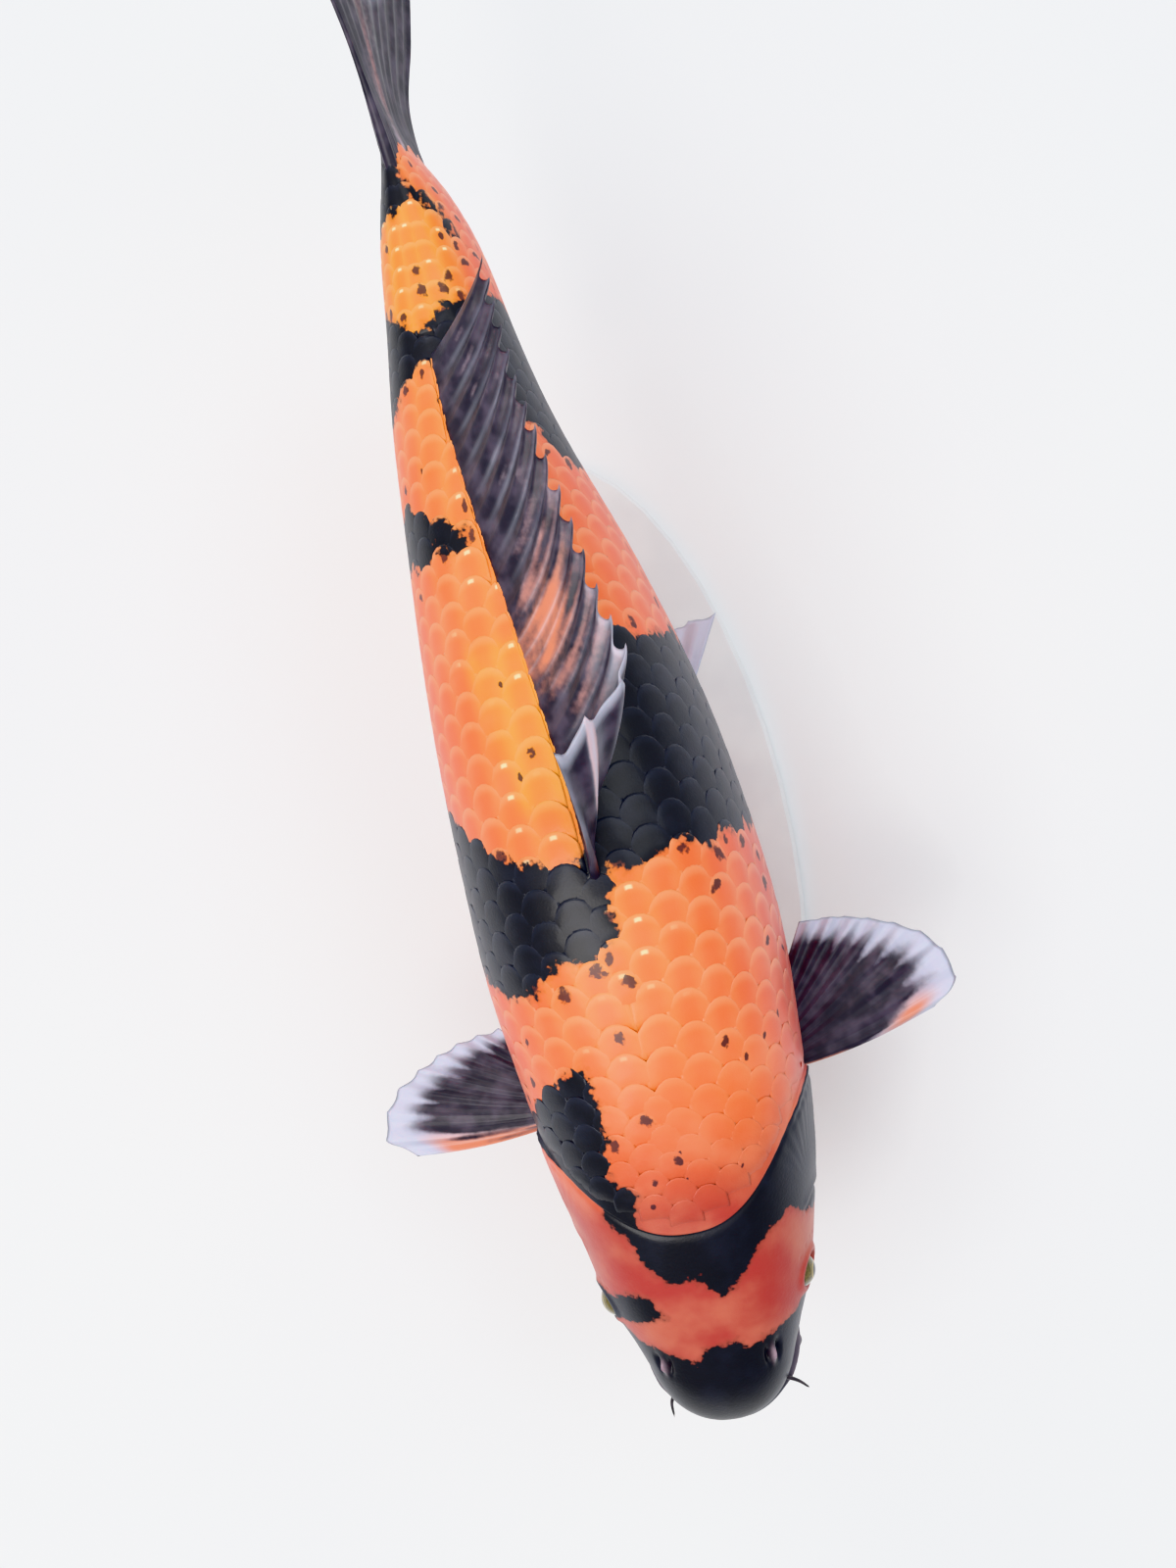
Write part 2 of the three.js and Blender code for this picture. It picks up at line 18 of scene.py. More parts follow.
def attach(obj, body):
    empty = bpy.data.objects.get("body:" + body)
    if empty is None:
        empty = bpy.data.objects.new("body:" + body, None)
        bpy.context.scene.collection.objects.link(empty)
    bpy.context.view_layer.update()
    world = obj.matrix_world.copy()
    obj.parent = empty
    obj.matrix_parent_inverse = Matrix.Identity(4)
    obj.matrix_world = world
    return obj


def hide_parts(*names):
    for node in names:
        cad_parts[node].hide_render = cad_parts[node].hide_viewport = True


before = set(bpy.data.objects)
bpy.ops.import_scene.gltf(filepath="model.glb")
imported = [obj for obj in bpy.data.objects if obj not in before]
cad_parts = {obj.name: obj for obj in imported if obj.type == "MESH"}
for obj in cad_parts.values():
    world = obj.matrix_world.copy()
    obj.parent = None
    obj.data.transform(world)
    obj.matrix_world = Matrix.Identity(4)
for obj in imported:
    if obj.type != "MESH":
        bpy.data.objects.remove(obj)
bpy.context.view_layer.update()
MM = 0.001
print("nodes in the frame:", len(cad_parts))

# %% [markdown]
# ## Camera, floor and light
#
# A koi is judged from above, so the camera looks down on its back, a little from the
# fish's left, and turned so that the fish lies slantwise in a tall picture. The lens is
# moderate, because a wide one close by would swell the middle of the back. The softboxes
# stand to the sides: a lamp straight above would mirror itself in the wet back and wash
# its colours out. The neutral view transform keeps a paint's own colour, which matters
# here, because a filmic one would turn the strong orange pale.

# %% Camera
CAMERA_AIM = Vector((-0.001, 0.0205, 0.137))
CAMERA_DISTANCE = 0.95
CAMERA_LEAN = math.radians(5.5)
CAMERA_TURN = math.radians(14.4)
CAMERA_LENS = 57.1
CAMERA_REACH = 20


def link(obj):
    """Puts a new object in the scene."""
    bpy.context.scene.collection.objects.link(obj)
    return obj


camera_data = bpy.data.cameras.new("camera")
camera_data.lens = CAMERA_LENS
camera_data.clip_end = CAMERA_REACH
camera = link(bpy.data.objects.new("camera", camera_data))
backward = Vector((math.sin(CAMERA_LEAN), 0, math.cos(CAMERA_LEAN)))
rightward = Vector((0, 1, 0)).cross(backward).normalized()
axes = Matrix((rightward, backward.cross(rightward), backward)).transposed()
turned = axes @ Matrix.Rotation(-CAMERA_TURN, 3, "Z")
camera.matrix_world = Matrix.Translation(CAMERA_AIM + CAMERA_DISTANCE * backward) @ turned.to_4x4()
bpy.context.scene.camera = camera
print("camera at", [round(x, 3) for x in camera.matrix_world.translation])

# %% Softboxes, ceiling and sky
CEILING_TILT = (math.radians(-14), math.radians(-10), 0)
CEILING_SPREAD = math.radians(120)
CEILING_POWER = 1.25
SKY = (0.93, 0.96, 1.0, 1)
SKY_POWER = 0.52


def softbox(name, place, size, power, warmth):
    """A square lamp that looks at the fish."""
    lamp = bpy.data.lights.new(name, "AREA")
    lamp.size = size
    lamp.energy = power
    lamp.color = warmth
    obj = link(bpy.data.objects.new(name, lamp))
    obj.location = place
    obj.rotation_euler = (CAMERA_AIM - Vector(place)).to_track_quat("-Z", "Y").to_euler()


softbox("key_softbox", (-0.62, -0.50, 1.45), 0.9, 14, (1.0, 0.97, 0.93))
softbox("fill_softbox", (0.90, 0.35, 1.20), 1.1, 7, (0.93, 0.97, 1.0))
softbox("tail_softbox", (-0.25, 1.35, 1.0), 0.8, 6, (1.0, 1.0, 1.0))

ceiling = bpy.data.lights.new("ceiling", "SUN")
ceiling.energy = CEILING_POWER
ceiling.angle = CEILING_SPREAD
link(bpy.data.objects.new("ceiling", ceiling)).rotation_euler = CEILING_TILT

world = bpy.data.worlds.new("studio")
bpy.context.scene.world = world
world.use_nodes = True
sky = world.node_tree.nodes["Background"]
sky.inputs["Color"].default_value = SKY
sky.inputs["Strength"].default_value = SKY_POWER
bpy.context.scene.view_settings.view_transform = "Khronos PBR Neutral"

# %% Floor
FLOOR_SIZE = 12.0


def as_mesh(bm, name):
    """Turns a finished bmesh into a mesh of that name."""
    mesh = bpy.data.meshes.new(name)
    bm.to_mesh(mesh)
    bm.free()
    return mesh


floor_bm = bmesh.new()
bmesh.ops.create_grid(floor_bm, x_segments=1, y_segments=1, size=FLOOR_SIZE)
floor = link(bpy.data.objects.new("floor", as_mesh(floor_bm, "floor")))
print("floor, m across:", 2 * FLOOR_SIZE)

# %% [markdown]
# ## The form of the body
#
# A fish's body is a tube whose section changes slowly from snout to tail, so a few
# smooth curves along its length say all of it: half the width, the height of the back,
# the depth of the belly, how square the section is, how the body bends as it swims and
# how it rolls. The solids were cut from the same curves. A place on the body is a
# station, 0 at the snout and 1 at the root of the tail fin, and degrees round the
# section from the ridge of the back, positive down the fish's left side.

# %% Curves along the body
LENGTH = 500 * MM
AXIS_HEIGHT = 135 * MM
STAND_STATION = 0.46
NOSE_ROUNDING = 0.045
NOSE_LEVEL = -0.012


def curve(*knots):
    """A smooth curve through a few knots, each (place, value), held at its ends."""
    at = np.array([knot[0] for knot in knots], float)
    value = np.array([knot[1] for knot in knots], float)
    before = np.maximum(np.arange(len(at)) - 1, 0)
    after = np.minimum(np.arange(len(at)) + 1, len(at) - 1)
    slope = (value[after] - value[before]) / (at[after] - at[before])

    def through(place):
        x = np.clip(place, at[0], at[-1])
        i = np.clip(np.searchsorted(at, x, side="right") - 1, 0, len(at) - 2)
        span = at[i + 1] - at[i]
        t = (x - at[i]) / span
        return (
            value[i] * (1 + 2 * t) * (1 - t) ** 2
            + slope[i] * span * t * (1 - t) ** 2
            + value[i + 1] * t * t * (3 - 2 * t)
            + slope[i + 1] * span * t * t * (t - 1)
        )

    return through


half_width = curve(
    (0, 0.049), (0.035, 0.052), (0.07, 0.0635), (0.105, 0.0765), (0.15, 0.088),
    (0.21, 0.099), (0.28, 0.107), (0.37, 0.114), (0.46, 0.111), (0.55, 0.103),
    (0.65, 0.0872), (0.75, 0.0665), (0.85, 0.048), (0.92, 0.037), (0.96, 0.026),
    (1, 0.0105),
)
back_height = curve(
    (0, 0.023), (0.05, 0.043), (0.10, 0.068), (0.155, 0.0925), (0.22, 0.117),
    (0.30, 0.139), (0.40, 0.154), (0.47, 0.156), (0.58, 0.140), (0.70, 0.113),
    (0.80, 0.087), (0.90, 0.068), (1, 0.065),
)
belly_depth = curve(
    (0, 0.042), (0.05, 0.063), (0.10, 0.079), (0.16, 0.099), (0.23, 0.119),
    (0.32, 0.137), (0.42, 0.148), (0.52, 0.147), (0.62, 0.133), (0.72, 0.109),
    (0.80, 0.086), (0.90, 0.064), (1, 0.062),
)
widest_level = curve((0, -0.018), (0.15, -0.010), (0.3, 0), (0.6, 0.005), (1, 0))
squareness = curve((0, 2.5), (0.1, 2.5), (0.2, 2.35), (0.35, 2.2), (0.6, 2.1), (1, 2))
bend = curve(
    (0, 0.001), (0.05, 0.0078), (0.10, 0.0125), (0.20, 0.019), (0.35, 0.0213),
    (0.5, 0.0188), (0.64, 0.011), (0.78, 0.001), (0.9, 0.0022), (0.96, 0.0018),
    (1, -0.0005), (1.06, -0.0016), (1.13, 0.0035), (1.22, 0.012),
)
roll = curve(
    (0.45, 0), (0.62, 3), (0.75, 6), (0.85, 8), (0.95, 6), (1, 3.2), (1.06, 4),
    (1.12, 9), (1.22, 12.5),
)
print("widest, mm:", round(float(2 * half_width(0.37) * LENGTH / MM)))

# %% Places on the body


def place(station, lateral, height):
    """A point beside the axis: lateral to the fish's left, height towards its back."""
    step = 0.002
    turn = np.arctan((bend(station + step) - bend(station - step)) / (2 * step))
    lean = np.radians(roll(station))
    across = lateral * np.cos(lean) - height * np.sin(lean)
    up = height * np.cos(lean) + lateral * np.sin(lean)
    x = LENGTH * (bend(station) - bend(STAND_STATION)) + np.cos(turn) * across
    y = LENGTH * (station - STAND_STATION) - np.sin(turn) * across
    return np.stack(np.broadcast_arrays(x, y, AXIS_HEIGHT + up), -1)


def section(station, degrees):
    """How far a place on the skin lies to the left of the axis, and how far above it."""
    angle = np.radians(90 - degrees)
    closing = np.sqrt(1 - (1 - np.clip(station / NOSE_ROUNDING, 0, 1)) ** 2)
    power = 2 / squareness(station)
    level = widest_level(station)
    reach = np.where(np.sin(angle) >= 0, back_height(station) - level, belly_depth(station) + level)
    across = np.sign(np.cos(angle)) * np.abs(np.cos(angle)) ** power
    up = np.sign(np.sin(angle)) * np.abs(np.sin(angle)) ** power
    lateral = LENGTH * half_width(station) * closing * across
    height = LENGTH * (NOSE_LEVEL + (level + reach * up - NOSE_LEVEL) * closing)
    return lateral, height


def body_point(station, degrees):
    """A place on the skin."""
    return place(station, *section(station, degrees))


def outward(station, degrees):
    """The direction that faces away from the body at a place on the skin."""
    ahead = body_point(station + 0.002, degrees) - body_point(np.maximum(station - 0.002, 1e-5), degrees)
    round_it = body_point(station, degrees + 1.5) - body_point(station, degrees - 1.5)
    normal = np.cross(round_it, ahead)
    return normal / np.maximum(np.linalg.norm(normal, axis=-1, keepdims=True), 1e-12)


def head_end(degrees):
    """The station where the head ends: a U over the nape, then the rear edge of the gill covers."""
    nape, throat, widest = 0.166, 0.184, 0.254
    middle = np.where(np.cos(np.radians(degrees)) >= 0, nape, throat)
    return middle + (widest - middle) * np.sin(np.radians(degrees)) ** 2


def pieces_of_half_turn(station, degrees):
    """Lengths of the straight pieces between places round one section."""
    outline = np.stack(section(station, degrees), -1)
    return np.linalg.norm(np.diff(outline, axis=0), axis=1)


def girth_at(station):
    """The length of the section's outline at a station."""
    return float(2 * pieces_of_half_turn(station, np.linspace(0, 180, 91)).sum())


girth = curve(*((station, girth_at(station)) for station in np.linspace(0.05, 1, 39)))
print("girth at the dorsal fin, mm:", round(float(girth(0.46)) / MM))

# %% [markdown]
# ## Meshes as arrays
#
# Most pieces start as a flat grid made by an operator and get their form from a function
# that places all of its points at once. These helpers read and write the points, hang
# values on them for the materials, close a wrapped grid, and show a finished piece.

# %% Reading and writing a mesh as arrays


def read_points(mesh):
    """All points of a mesh as rows of x, y and z."""
    flat = np.empty(3 * len(mesh.vertices), np.float32)
    mesh.vertices.foreach_get("co", flat)
    return flat.reshape(-1, 3).astype(float)


def write_points(mesh, points):
    """Moves all points of a mesh to these rows of x, y and z."""
    mesh.vertices.foreach_set("co", np.asarray(points, np.float32).ravel())
    mesh.update()


def write(mesh, name, values):
    """Hangs a value on every point, for a material to read."""
    attribute = mesh.attributes.new(name, "FLOAT", "POINT")
    attribute.data.foreach_set("value", np.asarray(values, np.float32).ravel())


def sheet_of_quads(name, columns, rows):
    """A flat grid with x and y from 0 to 1, mapped the same way."""
    bm = bmesh.new()
    bm.loops.layers.uv.new("OFBake")
    bmesh.ops.create_grid(bm, x_segments=columns, y_segments=rows, size=0.5, calc_uvs=True)
    bmesh.ops.translate(bm, verts=bm.verts, vec=(0.5, 0.5, 0))
    return as_mesh(bm, name)


def close_and_turn_out(mesh):
    """Merges points that meet, then makes every face look outwards."""
    bm = bmesh.new()
    bm.from_mesh(mesh)
    bmesh.ops.remove_doubles(bm, verts=bm.verts, dist=2e-6)
    bmesh.ops.dissolve_degenerate(bm, edges=bm.edges, dist=1e-6)
    bmesh.ops.recalc_face_normals(bm, faces=bm.faces)
    bm.to_mesh(mesh)
    bm.free()


def add_piece(name, mesh, material, nodes=()):
    """Shows a finished mesh, riding on the one body, in place of the solids it stands for."""
    mesh.name = name
    mesh.materials.append(material)
    mesh.shade_smooth()
    piece = link(bpy.data.objects.new(name, mesh))
    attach(piece, "root")
    if nodes:
        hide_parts(*nodes)
    print(f"{name}: {len(mesh.polygons)} faces")
    return piece

# %% [markdown]
# ## The markings
#
# This koi is orange with black patches that lie over the back and run down the flanks.
# The black is drawn once, as rounded outlines in station and degrees, and everything
# that wears it, skin and scales alike, asks the same function how deep inside the black
# it lies. A depth is better than a yes or no, because a material can fray its edge with
# noise and let it fade. The far flank and the belly follow what such a koi shows there:
# the patches narrow and end low on the flanks, and the belly stays pale orange.

# %% Black patches, each a list of (station, degrees from the ridge)
HEAD_PATCHES = [
    # the snout and lips, back to the nostrils and under the eyes
    [(-0.10, -200), (0.045, -200), (0.066, -150), (0.088, -115), (0.118, -93), (0.110, -78),
     (0.092, -64), (0.078, -54), (0.072, -35), (0.064, -20), (0.059, -11), (0.069, -3),
     (0.074, 8), (0.068, 19), (0.073, 34), (0.079, 50), (0.086, 64), (0.106, 84),
     (0.120, 98), (0.092, 118), (0.066, 150), (0.045, 200), (-0.10, 200)],
    # the nape, running out over the left gill cover
    [(0.23, -38), (0.196, -34), (0.185, -36), (0.171, -27), (0.155, -24), (0.138, -17),
     (0.127, -9), (0.131, 0), (0.121, 2), (0.113, 6), (0.119, 13), (0.131, 20),
     (0.141, 25), (0.156, 36), (0.167, 47), (0.160, 62), (0.155, 80), (0.158, 100),
     (0.172, 118), (0.195, 132), (0.30, 128), (0.30, -30)],
    # a thin edge along the right gill cover
    [(0.215, -34), (0.226, -42), (0.240, -52), (0.246, -70), (0.238, -90), (0.30, -92), (0.30, -30)],
    # over the right eye
    [(0.131, -88), (0.127, -72), (0.119, -54), (0.122, -42), (0.119, -26), (0.103, -20),
     (0.098, -34), (0.100, -56), (0.104, -70), (0.118, -88)],
]
BODY_PATCHES = [
    # right shoulder
    [(0.296, -45), (0.290, -36), (0.301, -29), (0.306, -23), (0.296, -19), (0.277, -18),
     (0.262, -19), (0.248, -15), (0.238, -26), (0.228, -25), (0.206, -17), (0.17, -20),
     (0.20, -60), (0.23, -100), (0.262, -96), (0.272, -72), (0.277, -52)],
    # right flank, up to the front of the dorsal fin
    [(0.522, -78), (0.497, -56), (0.475, -39), (0.459, -30), (0.451, -14), (0.450, -5),
     (0.452, 8), (0.436, 6), (0.422, 1), (0.401, 0), (0.389, 3), (0.380, -1), (0.375, -8),
     (0.381, -18), (0.372, -28), (0.365, -34), (0.356, -42), (0.364, -54), (0.374, -66),
     (0.388, -78), (0.396, -96), (0.418, -112), (0.440, -128), (0.470, -132), (0.500, -118),
     (0.524, -100)],
    # left flank, beside the dorsal fin
    [(0.603, 42), (0.597, 52), (0.590, 60), (0.592, 76), (0.584, 92), (0.580, 106),
     (0.560, 122), (0.528, 134), (0.490, 136), (0.462, 122), (0.444, 108), (0.434, 92),
     (0.439, 76), (0.437, 55), (0.431, 45), (0.440, 35), (0.446, 28), (0.443, 20),
     (0.437, 14), (0.439, 4), (0.452, 0), (0.500, 2), (0.545, 5), (0.580, 16)],
    # two spots high on the right flank
    [(0.733, -62), (0.728, -40), (0.716, -25), (0.698, -28), (0.687, -46), (0.693, -70), (0.714, -76)],
    [(0.713, -21), (0.712, -8), (0.700, -2), (0.687, -8), (0.681, -22), (0.694, -29)],
    # the band behind the dorsal fin
    [(0.884, -78), (0.878, -58), (0.864, -24), (0.857, -10), (0.861, 0), (0.868, 24),
     (0.876, 60), (0.872, 92), (0.852, 120), (0.812, 132), (0.768, 122), (0.730, 104),
     (0.722, 82), (0.743, 69), (0.768, 62), (0.796, 40), (0.812, 18), (0.832, -2),
     (0.826, -14), (0.815, -31), (0.797, -52), (0.790, -78), (0.806, -102), (0.840, -116),
     (0.868, -104)],
    # the root of the tail fin
    [(1.10, -150), (1.10, 20), (0.985, 4), (0.972, 9), (0.958, 16), (0.948, 15),
     (0.943, -18), (0.937, -48), (0.930, -84), (0.942, -118), (0.970, -150)],
    [(0.967, 16), (0.958, 34), (0.945, 50), (0.914, 64), (0.911, 60), (0.936, 44), (0.950, 22)],
]
SPECK_CLUSTERS = [  # (station, degrees, strength)
    (0.312, -10, 1.0), (0.296, -14, 1.0), (0.372, -5, 1.0), (0.350, -4, 0.8), (0.348, -56, 1.0),
    (0.357, -26, 0.8), (0.425, 29, 1.0), (0.424, 50, 1.0), (0.411, 43, 0.8), (0.428, 5, 0.9),
    (0.411, 3, 1.0), (0.882, 6, 1.0), (0.888, 36, 0.9), (0.232, -13, 0.8), (0.206, -11, 0.8),
    (0.270, -12, 0.8), (0.704, -16, 1.0), (0.345, 72, 0.6), (0.314, 26, 0.6), (0.400, 76, 0.7),
]
print("patches:", len(HEAD_PATCHES) + len(BODY_PATCHES), "clusters of specks:", len(SPECK_CLUSTERS))

# %% How deep a place lies inside the black
OUTSIDE = -50 * MM
LOW_ON_FLANK = (66, 96)
WANDER = 2.6 * MM


def smooth_step(low, high, value):
    """0 below low, 1 above high and smooth between."""
    t = np.clip((value - low) / (high - low), 0, 1)
    return t * t * (3 - 2 * t)


def bell(distance, width):
    """1 at no distance, falling off smoothly on both sides."""
    return np.exp(-((distance / width) ** 2))


def from_piece(x, y, start, end):
    """Distance from a straight piece between two points."""
    (ax, ay), (bx, by) = start, end
    ex, ey = bx - ax, by - ay
    t = np.clip(((x - ax) * ex + (y - ay) * ey) / np.maximum(ex**2 + ey**2, 1e-12), 0, 1)
    return np.hypot(x - ax - t * ex, y - ay - t * ey)


def depth_inside(x, y, outline):
    """Distance inside a closed outline, negative outside it."""
    nearest = np.full(x.shape, np.inf)
    inside = np.zeros(x.shape, bool)
    for start, end in zip(outline, outline[1:] + outline[:1]):
        nearest = np.minimum(nearest, from_piece(x, y, start, end))
        (ax, ay), (bx, by) = start, end
        crosses = (ay > y) != (by > y)
        inside ^= crosses & (x < ax + (bx - ax) * (y - ay) / np.where(by == ay, 1, by - ay))
    return np.where(inside, nearest, -nearest)


def metres_per_degree(station):
    """How far one degree reaches round the body, with the skin unrolled flat."""
    return math.radians(1) * girth(station) / (2 * math.pi)


def black_depth(station, degrees, patches):
    """Metres inside the black, negative outside it."""
    per_degree = metres_per_degree(station)
    x, y = LENGTH * station, per_degree * degrees
    deepest = np.full(np.shape(x), OUTSIDE)
    for patch in patches:
        outline = [(LENGTH * s, per_degree * d) for s, d in patch]
        deepest = np.maximum(deepest, depth_inside(x, y, outline))
    # Low on the flanks the outlines wander more than the few corners of a patch say.
    low = smooth_step(*LOW_ON_FLANK, np.abs(degrees)) * (station > head_end(degrees))
    wander = np.sin(190 * x + 2.0 * np.sin(150 * y)) + 0.8 * np.sin(310 * x - 170 * y)
    return deepest + WANDER * low * wander


# %% How likely a speck is
FRINGE_SHARE = 0.6
FRINGE_OUT = 3 * MM
FRINGE_WIDTH = 5.5 * MM
STRAY_SHARE = 0.015
CLUSTER_WIDTH = 9 * MM


def speckled(station, degrees, black):
    """How likely a scale has a speck: high in a fringe round every patch and in a few clusters."""
    per_degree = metres_per_degree(station)
    share = FRINGE_SHARE * bell(black + FRINGE_OUT, FRINGE_WIDTH) + STRAY_SHARE
    for s, d, strength in SPECK_CLUSTERS:
        off = np.hypot(LENGTH * (station - s), per_degree * (degrees - d))
        share = np.maximum(share, strength * bell(off, CLUSTER_WIDTH))
    return share


# %% The tints of the orange
GOLD_PATCHES = [  # the brightest yellow, round the tail stalk and beside the dorsal fin
    [(0.95, -70), (0.95, 48), (0.86, 40), (0.84, -10), (0.86, -60)],
    [(0.61, -22), (0.61, 3), (0.50, 3), (0.50, -16)],
]


def tints(station, degrees):
    """How golden, rosy and crimson the orange is and how pale the belly, each from 0 to 1. The rose on the
    flanks is partly their own pinker tint and partly painted shade with a painted bluish reflection towards
    the outline.
    """
    gold = 0.50 * bell(degrees + 4, 26) * smooth_step(0.22, 0.40, station)
    gold = gold + 0.75 * smooth_step(-9 * MM, 5 * MM, black_depth(station, degrees, GOLD_PATCHES))
    # The flanks turn a darker, bluer rose: partly their own tint, partly painted shade and a painted
    # reflection.
    rose_and_shade = smooth_step(26, 86, np.abs(degrees)) * (1 - 0.35 * smooth_step(0.48, 0.66, station))
    crimson = 1 - smooth_step(0.16, 0.29, station)
    belly = smooth_step(112, 165, np.abs(degrees))
    return np.clip(gold, 0, 1), rose_and_shade, crimson, belly


def paint_markings(mesh, black, station, degrees):
    """Writes the black and the tints on a mesh, for its material to read."""
    write(mesh, "black", black / MM)
    for tint, share in zip(("gold", "rose_and_shade", "crimson", "belly"), tints(station, degrees)):
        write(mesh, tint, share)


# %% [markdown]
# ## Finishes of skin and scales
#
# The colour of a koi sits in layers: orange pigment under a clear skin, black pigment
# that comes up through it with frayed edges, and a film of slime that makes the whole
# fish shine. The shader follows the same layers. It reads the painted depths from the
# mesh, frays the black with noise of a few millimetres, and puts a thin clear coat on
# top. Skin and scales share this base, and the scales add their own pale rims.

# %% A small helper for shader nodes


def paint(red, green, blue):
    """A colour given as the usual 0 to 255, turned into the linear values a shader takes."""
    def linear(level):
        share = level / 255
        return share / 12.92 if share <= 0.04045 else ((share + 0.055) / 1.055) ** 2.4

    return (linear(red), linear(green), linear(blue), 1.0)


class Finish:
    """A material whose nodes are added one by one, each ending in a socket."""

    def __init__(self, name, roughness, coat=0.0, coat_roughness=0.1, depth=0.0, metal=0.0, shine=0.5):
        self.material = bpy.data.materials.new(name)
        self.material.use_nodes = True
        self.tree = self.material.node_tree
        self.shader = self.tree.nodes["Principled BSDF"]
        self.place = self.tree.nodes.new("ShaderNodeTexCoord").outputs["Object"]
        self.set("Roughness", roughness)
        self.set("Specular IOR Level", shine)
        self.set("Coat Weight", coat)
        self.set("Coat Roughness", coat_roughness)
        self.set("Subsurface Weight", depth)
        self.set("Subsurface Scale", 3 * MM)
        self.set("Metallic", metal)

    def feed(self, socket, value):
        """Links a socket to another, or sets its plain value."""
        if isinstance(value, bpy.types.NodeSocket):
            self.tree.links.new(value, socket)
        else:
            socket.default_value = value

    def set(self, name, value):
        """Gives one input of the shader a value or a socket."""
        self.feed(self.shader.inputs[name], value)

    def read(self, name):
        """A value that was written on the mesh."""
        node = self.tree.nodes.new("ShaderNodeAttribute")
        node.attribute_name = name
        return node.outputs["Fac"]

    def math(self, operation, first, second=0.0):
        """One sum of two values, by the name of the operation."""
        node = self.tree.nodes.new("ShaderNodeMath")
        node.operation = operation
        self.feed(node.inputs[0], first)
        self.feed(node.inputs[1], second)
        return node.outputs[0]

    def times(self, first, *others):
        """The product of all its values."""
        for other in others:
            first = self.math("MULTIPLY", first, other)
        return first

    def ramp(self, value, low, high):
        """0 below low, 1 above high and smooth between. Low may be above high."""
        node = self.tree.nodes.new("ShaderNodeMapRange")
        node.interpolation_type = "SMOOTHSTEP"
        self.feed(node.inputs["Value"], value)
        node.inputs["From Min"].default_value = low
        node.inputs["From Max"].default_value = high
        return node.outputs["Result"]

    def mix(self, share, first, second):
        """The first colour where share is 0, the second where it is 1."""
        node = self.tree.nodes.new("ShaderNodeMix")
        node.data_type = "RGBA"
        self.feed(node.inputs[0], share)
        self.feed(node.inputs[6], first)
        self.feed(node.inputs[7], second)
        return node.outputs[2]

    def noise(self, size, detail, place=None):
        """Noise with features of about that size, in metres, from 0 to 1."""
        node = self.tree.nodes.new("ShaderNodeTexNoise")
        node.inputs["Scale"].default_value = 1 / size
        node.inputs["Detail"].default_value = detail
        self.tree.links.new(place or self.place, node.inputs["Vector"])
        return node.outputs["Fac"]

    def stray(self, size, detail, spread):
        """The same noise, but as far below 0 as above it, over that spread."""
        return self.times(self.math("SUBTRACT", self.noise(size, detail), 0.5), spread)

    def bump(self, height, depth):
        """Raises the surface by height, from 0 to 1, times depth in metres."""
        node = self.tree.nodes.new("ShaderNodeBump")
        node.inputs["Distance"].default_value = depth
        self.feed(node.inputs["Height"], height)
        self.set("Normal", node.outputs["Normal"])


# %% The colour that skin and scales share
ORANGE = paint(246, 126, 64)
GOLD = paint(255, 164, 30)
ROSE_AND_SHADE = paint(201, 97, 101)
CRIMSON = paint(166, 61, 56)
CREAM = paint(250, 190, 150)
BROWN = paint(120, 62, 48)
INK = paint(15, 15, 24)
SLATE_AND_REFLECTION = paint(47, 50, 67)
PEACH = paint(255, 196, 150)
FLAP_PALE = paint(150, 128, 140)
LIP_DARK = paint(46, 38, 46)


def koi_orange(finish):
    """The orange with its drift to gold, rose and crimson, before any black; the rose is partly painted
    shade and reflection on the flanks.
    """
    orange = finish.mix(finish.read("gold"), ORANGE, GOLD)
    # Darker bluish rose on the flanks: partly the fish's own tint, partly painted shade and reflection.
    orange = finish.mix(finish.times(finish.read("rose_and_shade"), 0.85), orange, ROSE_AND_SHADE)
    orange = finish.mix(finish.read("crimson"), orange, CRIMSON)
    orange = finish.mix(finish.times(finish.read("belly"), 0.7), orange, CREAM)
    cloud = finish.ramp(finish.noise(22 * MM, 3), 0.35, 0.75)
    return finish.mix(finish.times(cloud, 0.16), orange, PEACH)


def frayed_black(finish):
    """Depth inside the black in millimetres, with its edge frayed by noise."""
    fraying = finish.math("ADD", finish.stray(2.9 * MM, 3, 6.0), finish.stray(9 * MM, 1, 5.0))
    return finish.math("ADD", finish.read("black"), fraying)


def koi_black(finish, orange, depth):
    """Lays the black over the orange: brown where it thins, slate on the flanks, partly the black's own
    slate tone and partly a painted bluish reflection.
    """
    cloud = finish.ramp(finish.noise(14 * MM, 3), 0.42, 0.72)
    # On the flanks the black turns slate: partly its own tone, partly a painted bluish reflection and
    # sheen.
    flank = finish.times(finish.read("rose_and_shade"), 0.68)
    black = finish.mix(finish.math("ADD", flank, finish.times(cloud, 0.22)), INK, SLATE_AND_REFLECTION)
    haze = finish.times(finish.ramp(depth, -2.2, 0.2), 0.42)
    return finish.mix(finish.ramp(depth, -0.35, 0.55), finish.mix(haze, orange, BROWN), black)


skin_finish = Finish("koi_skin", roughness=0.42, coat=0.22, coat_roughness=0.16, depth=0.06, shine=0.35)
skin_depth = frayed_black(skin_finish)
skin_colour = koi_black(skin_finish, koi_orange(skin_finish), skin_depth)
skin_colour = skin_finish.mix(skin_finish.read("pale"), skin_colour, FLAP_PALE)
skin_finish.set("Base Color", skin_finish.mix(skin_finish.read("lip"), skin_colour, LIP_DARK))
skin_finish.bump(skin_finish.noise(1.1 * MM, 3), 0.10 * MM)
print("skin nodes:", len(skin_finish.tree.nodes))

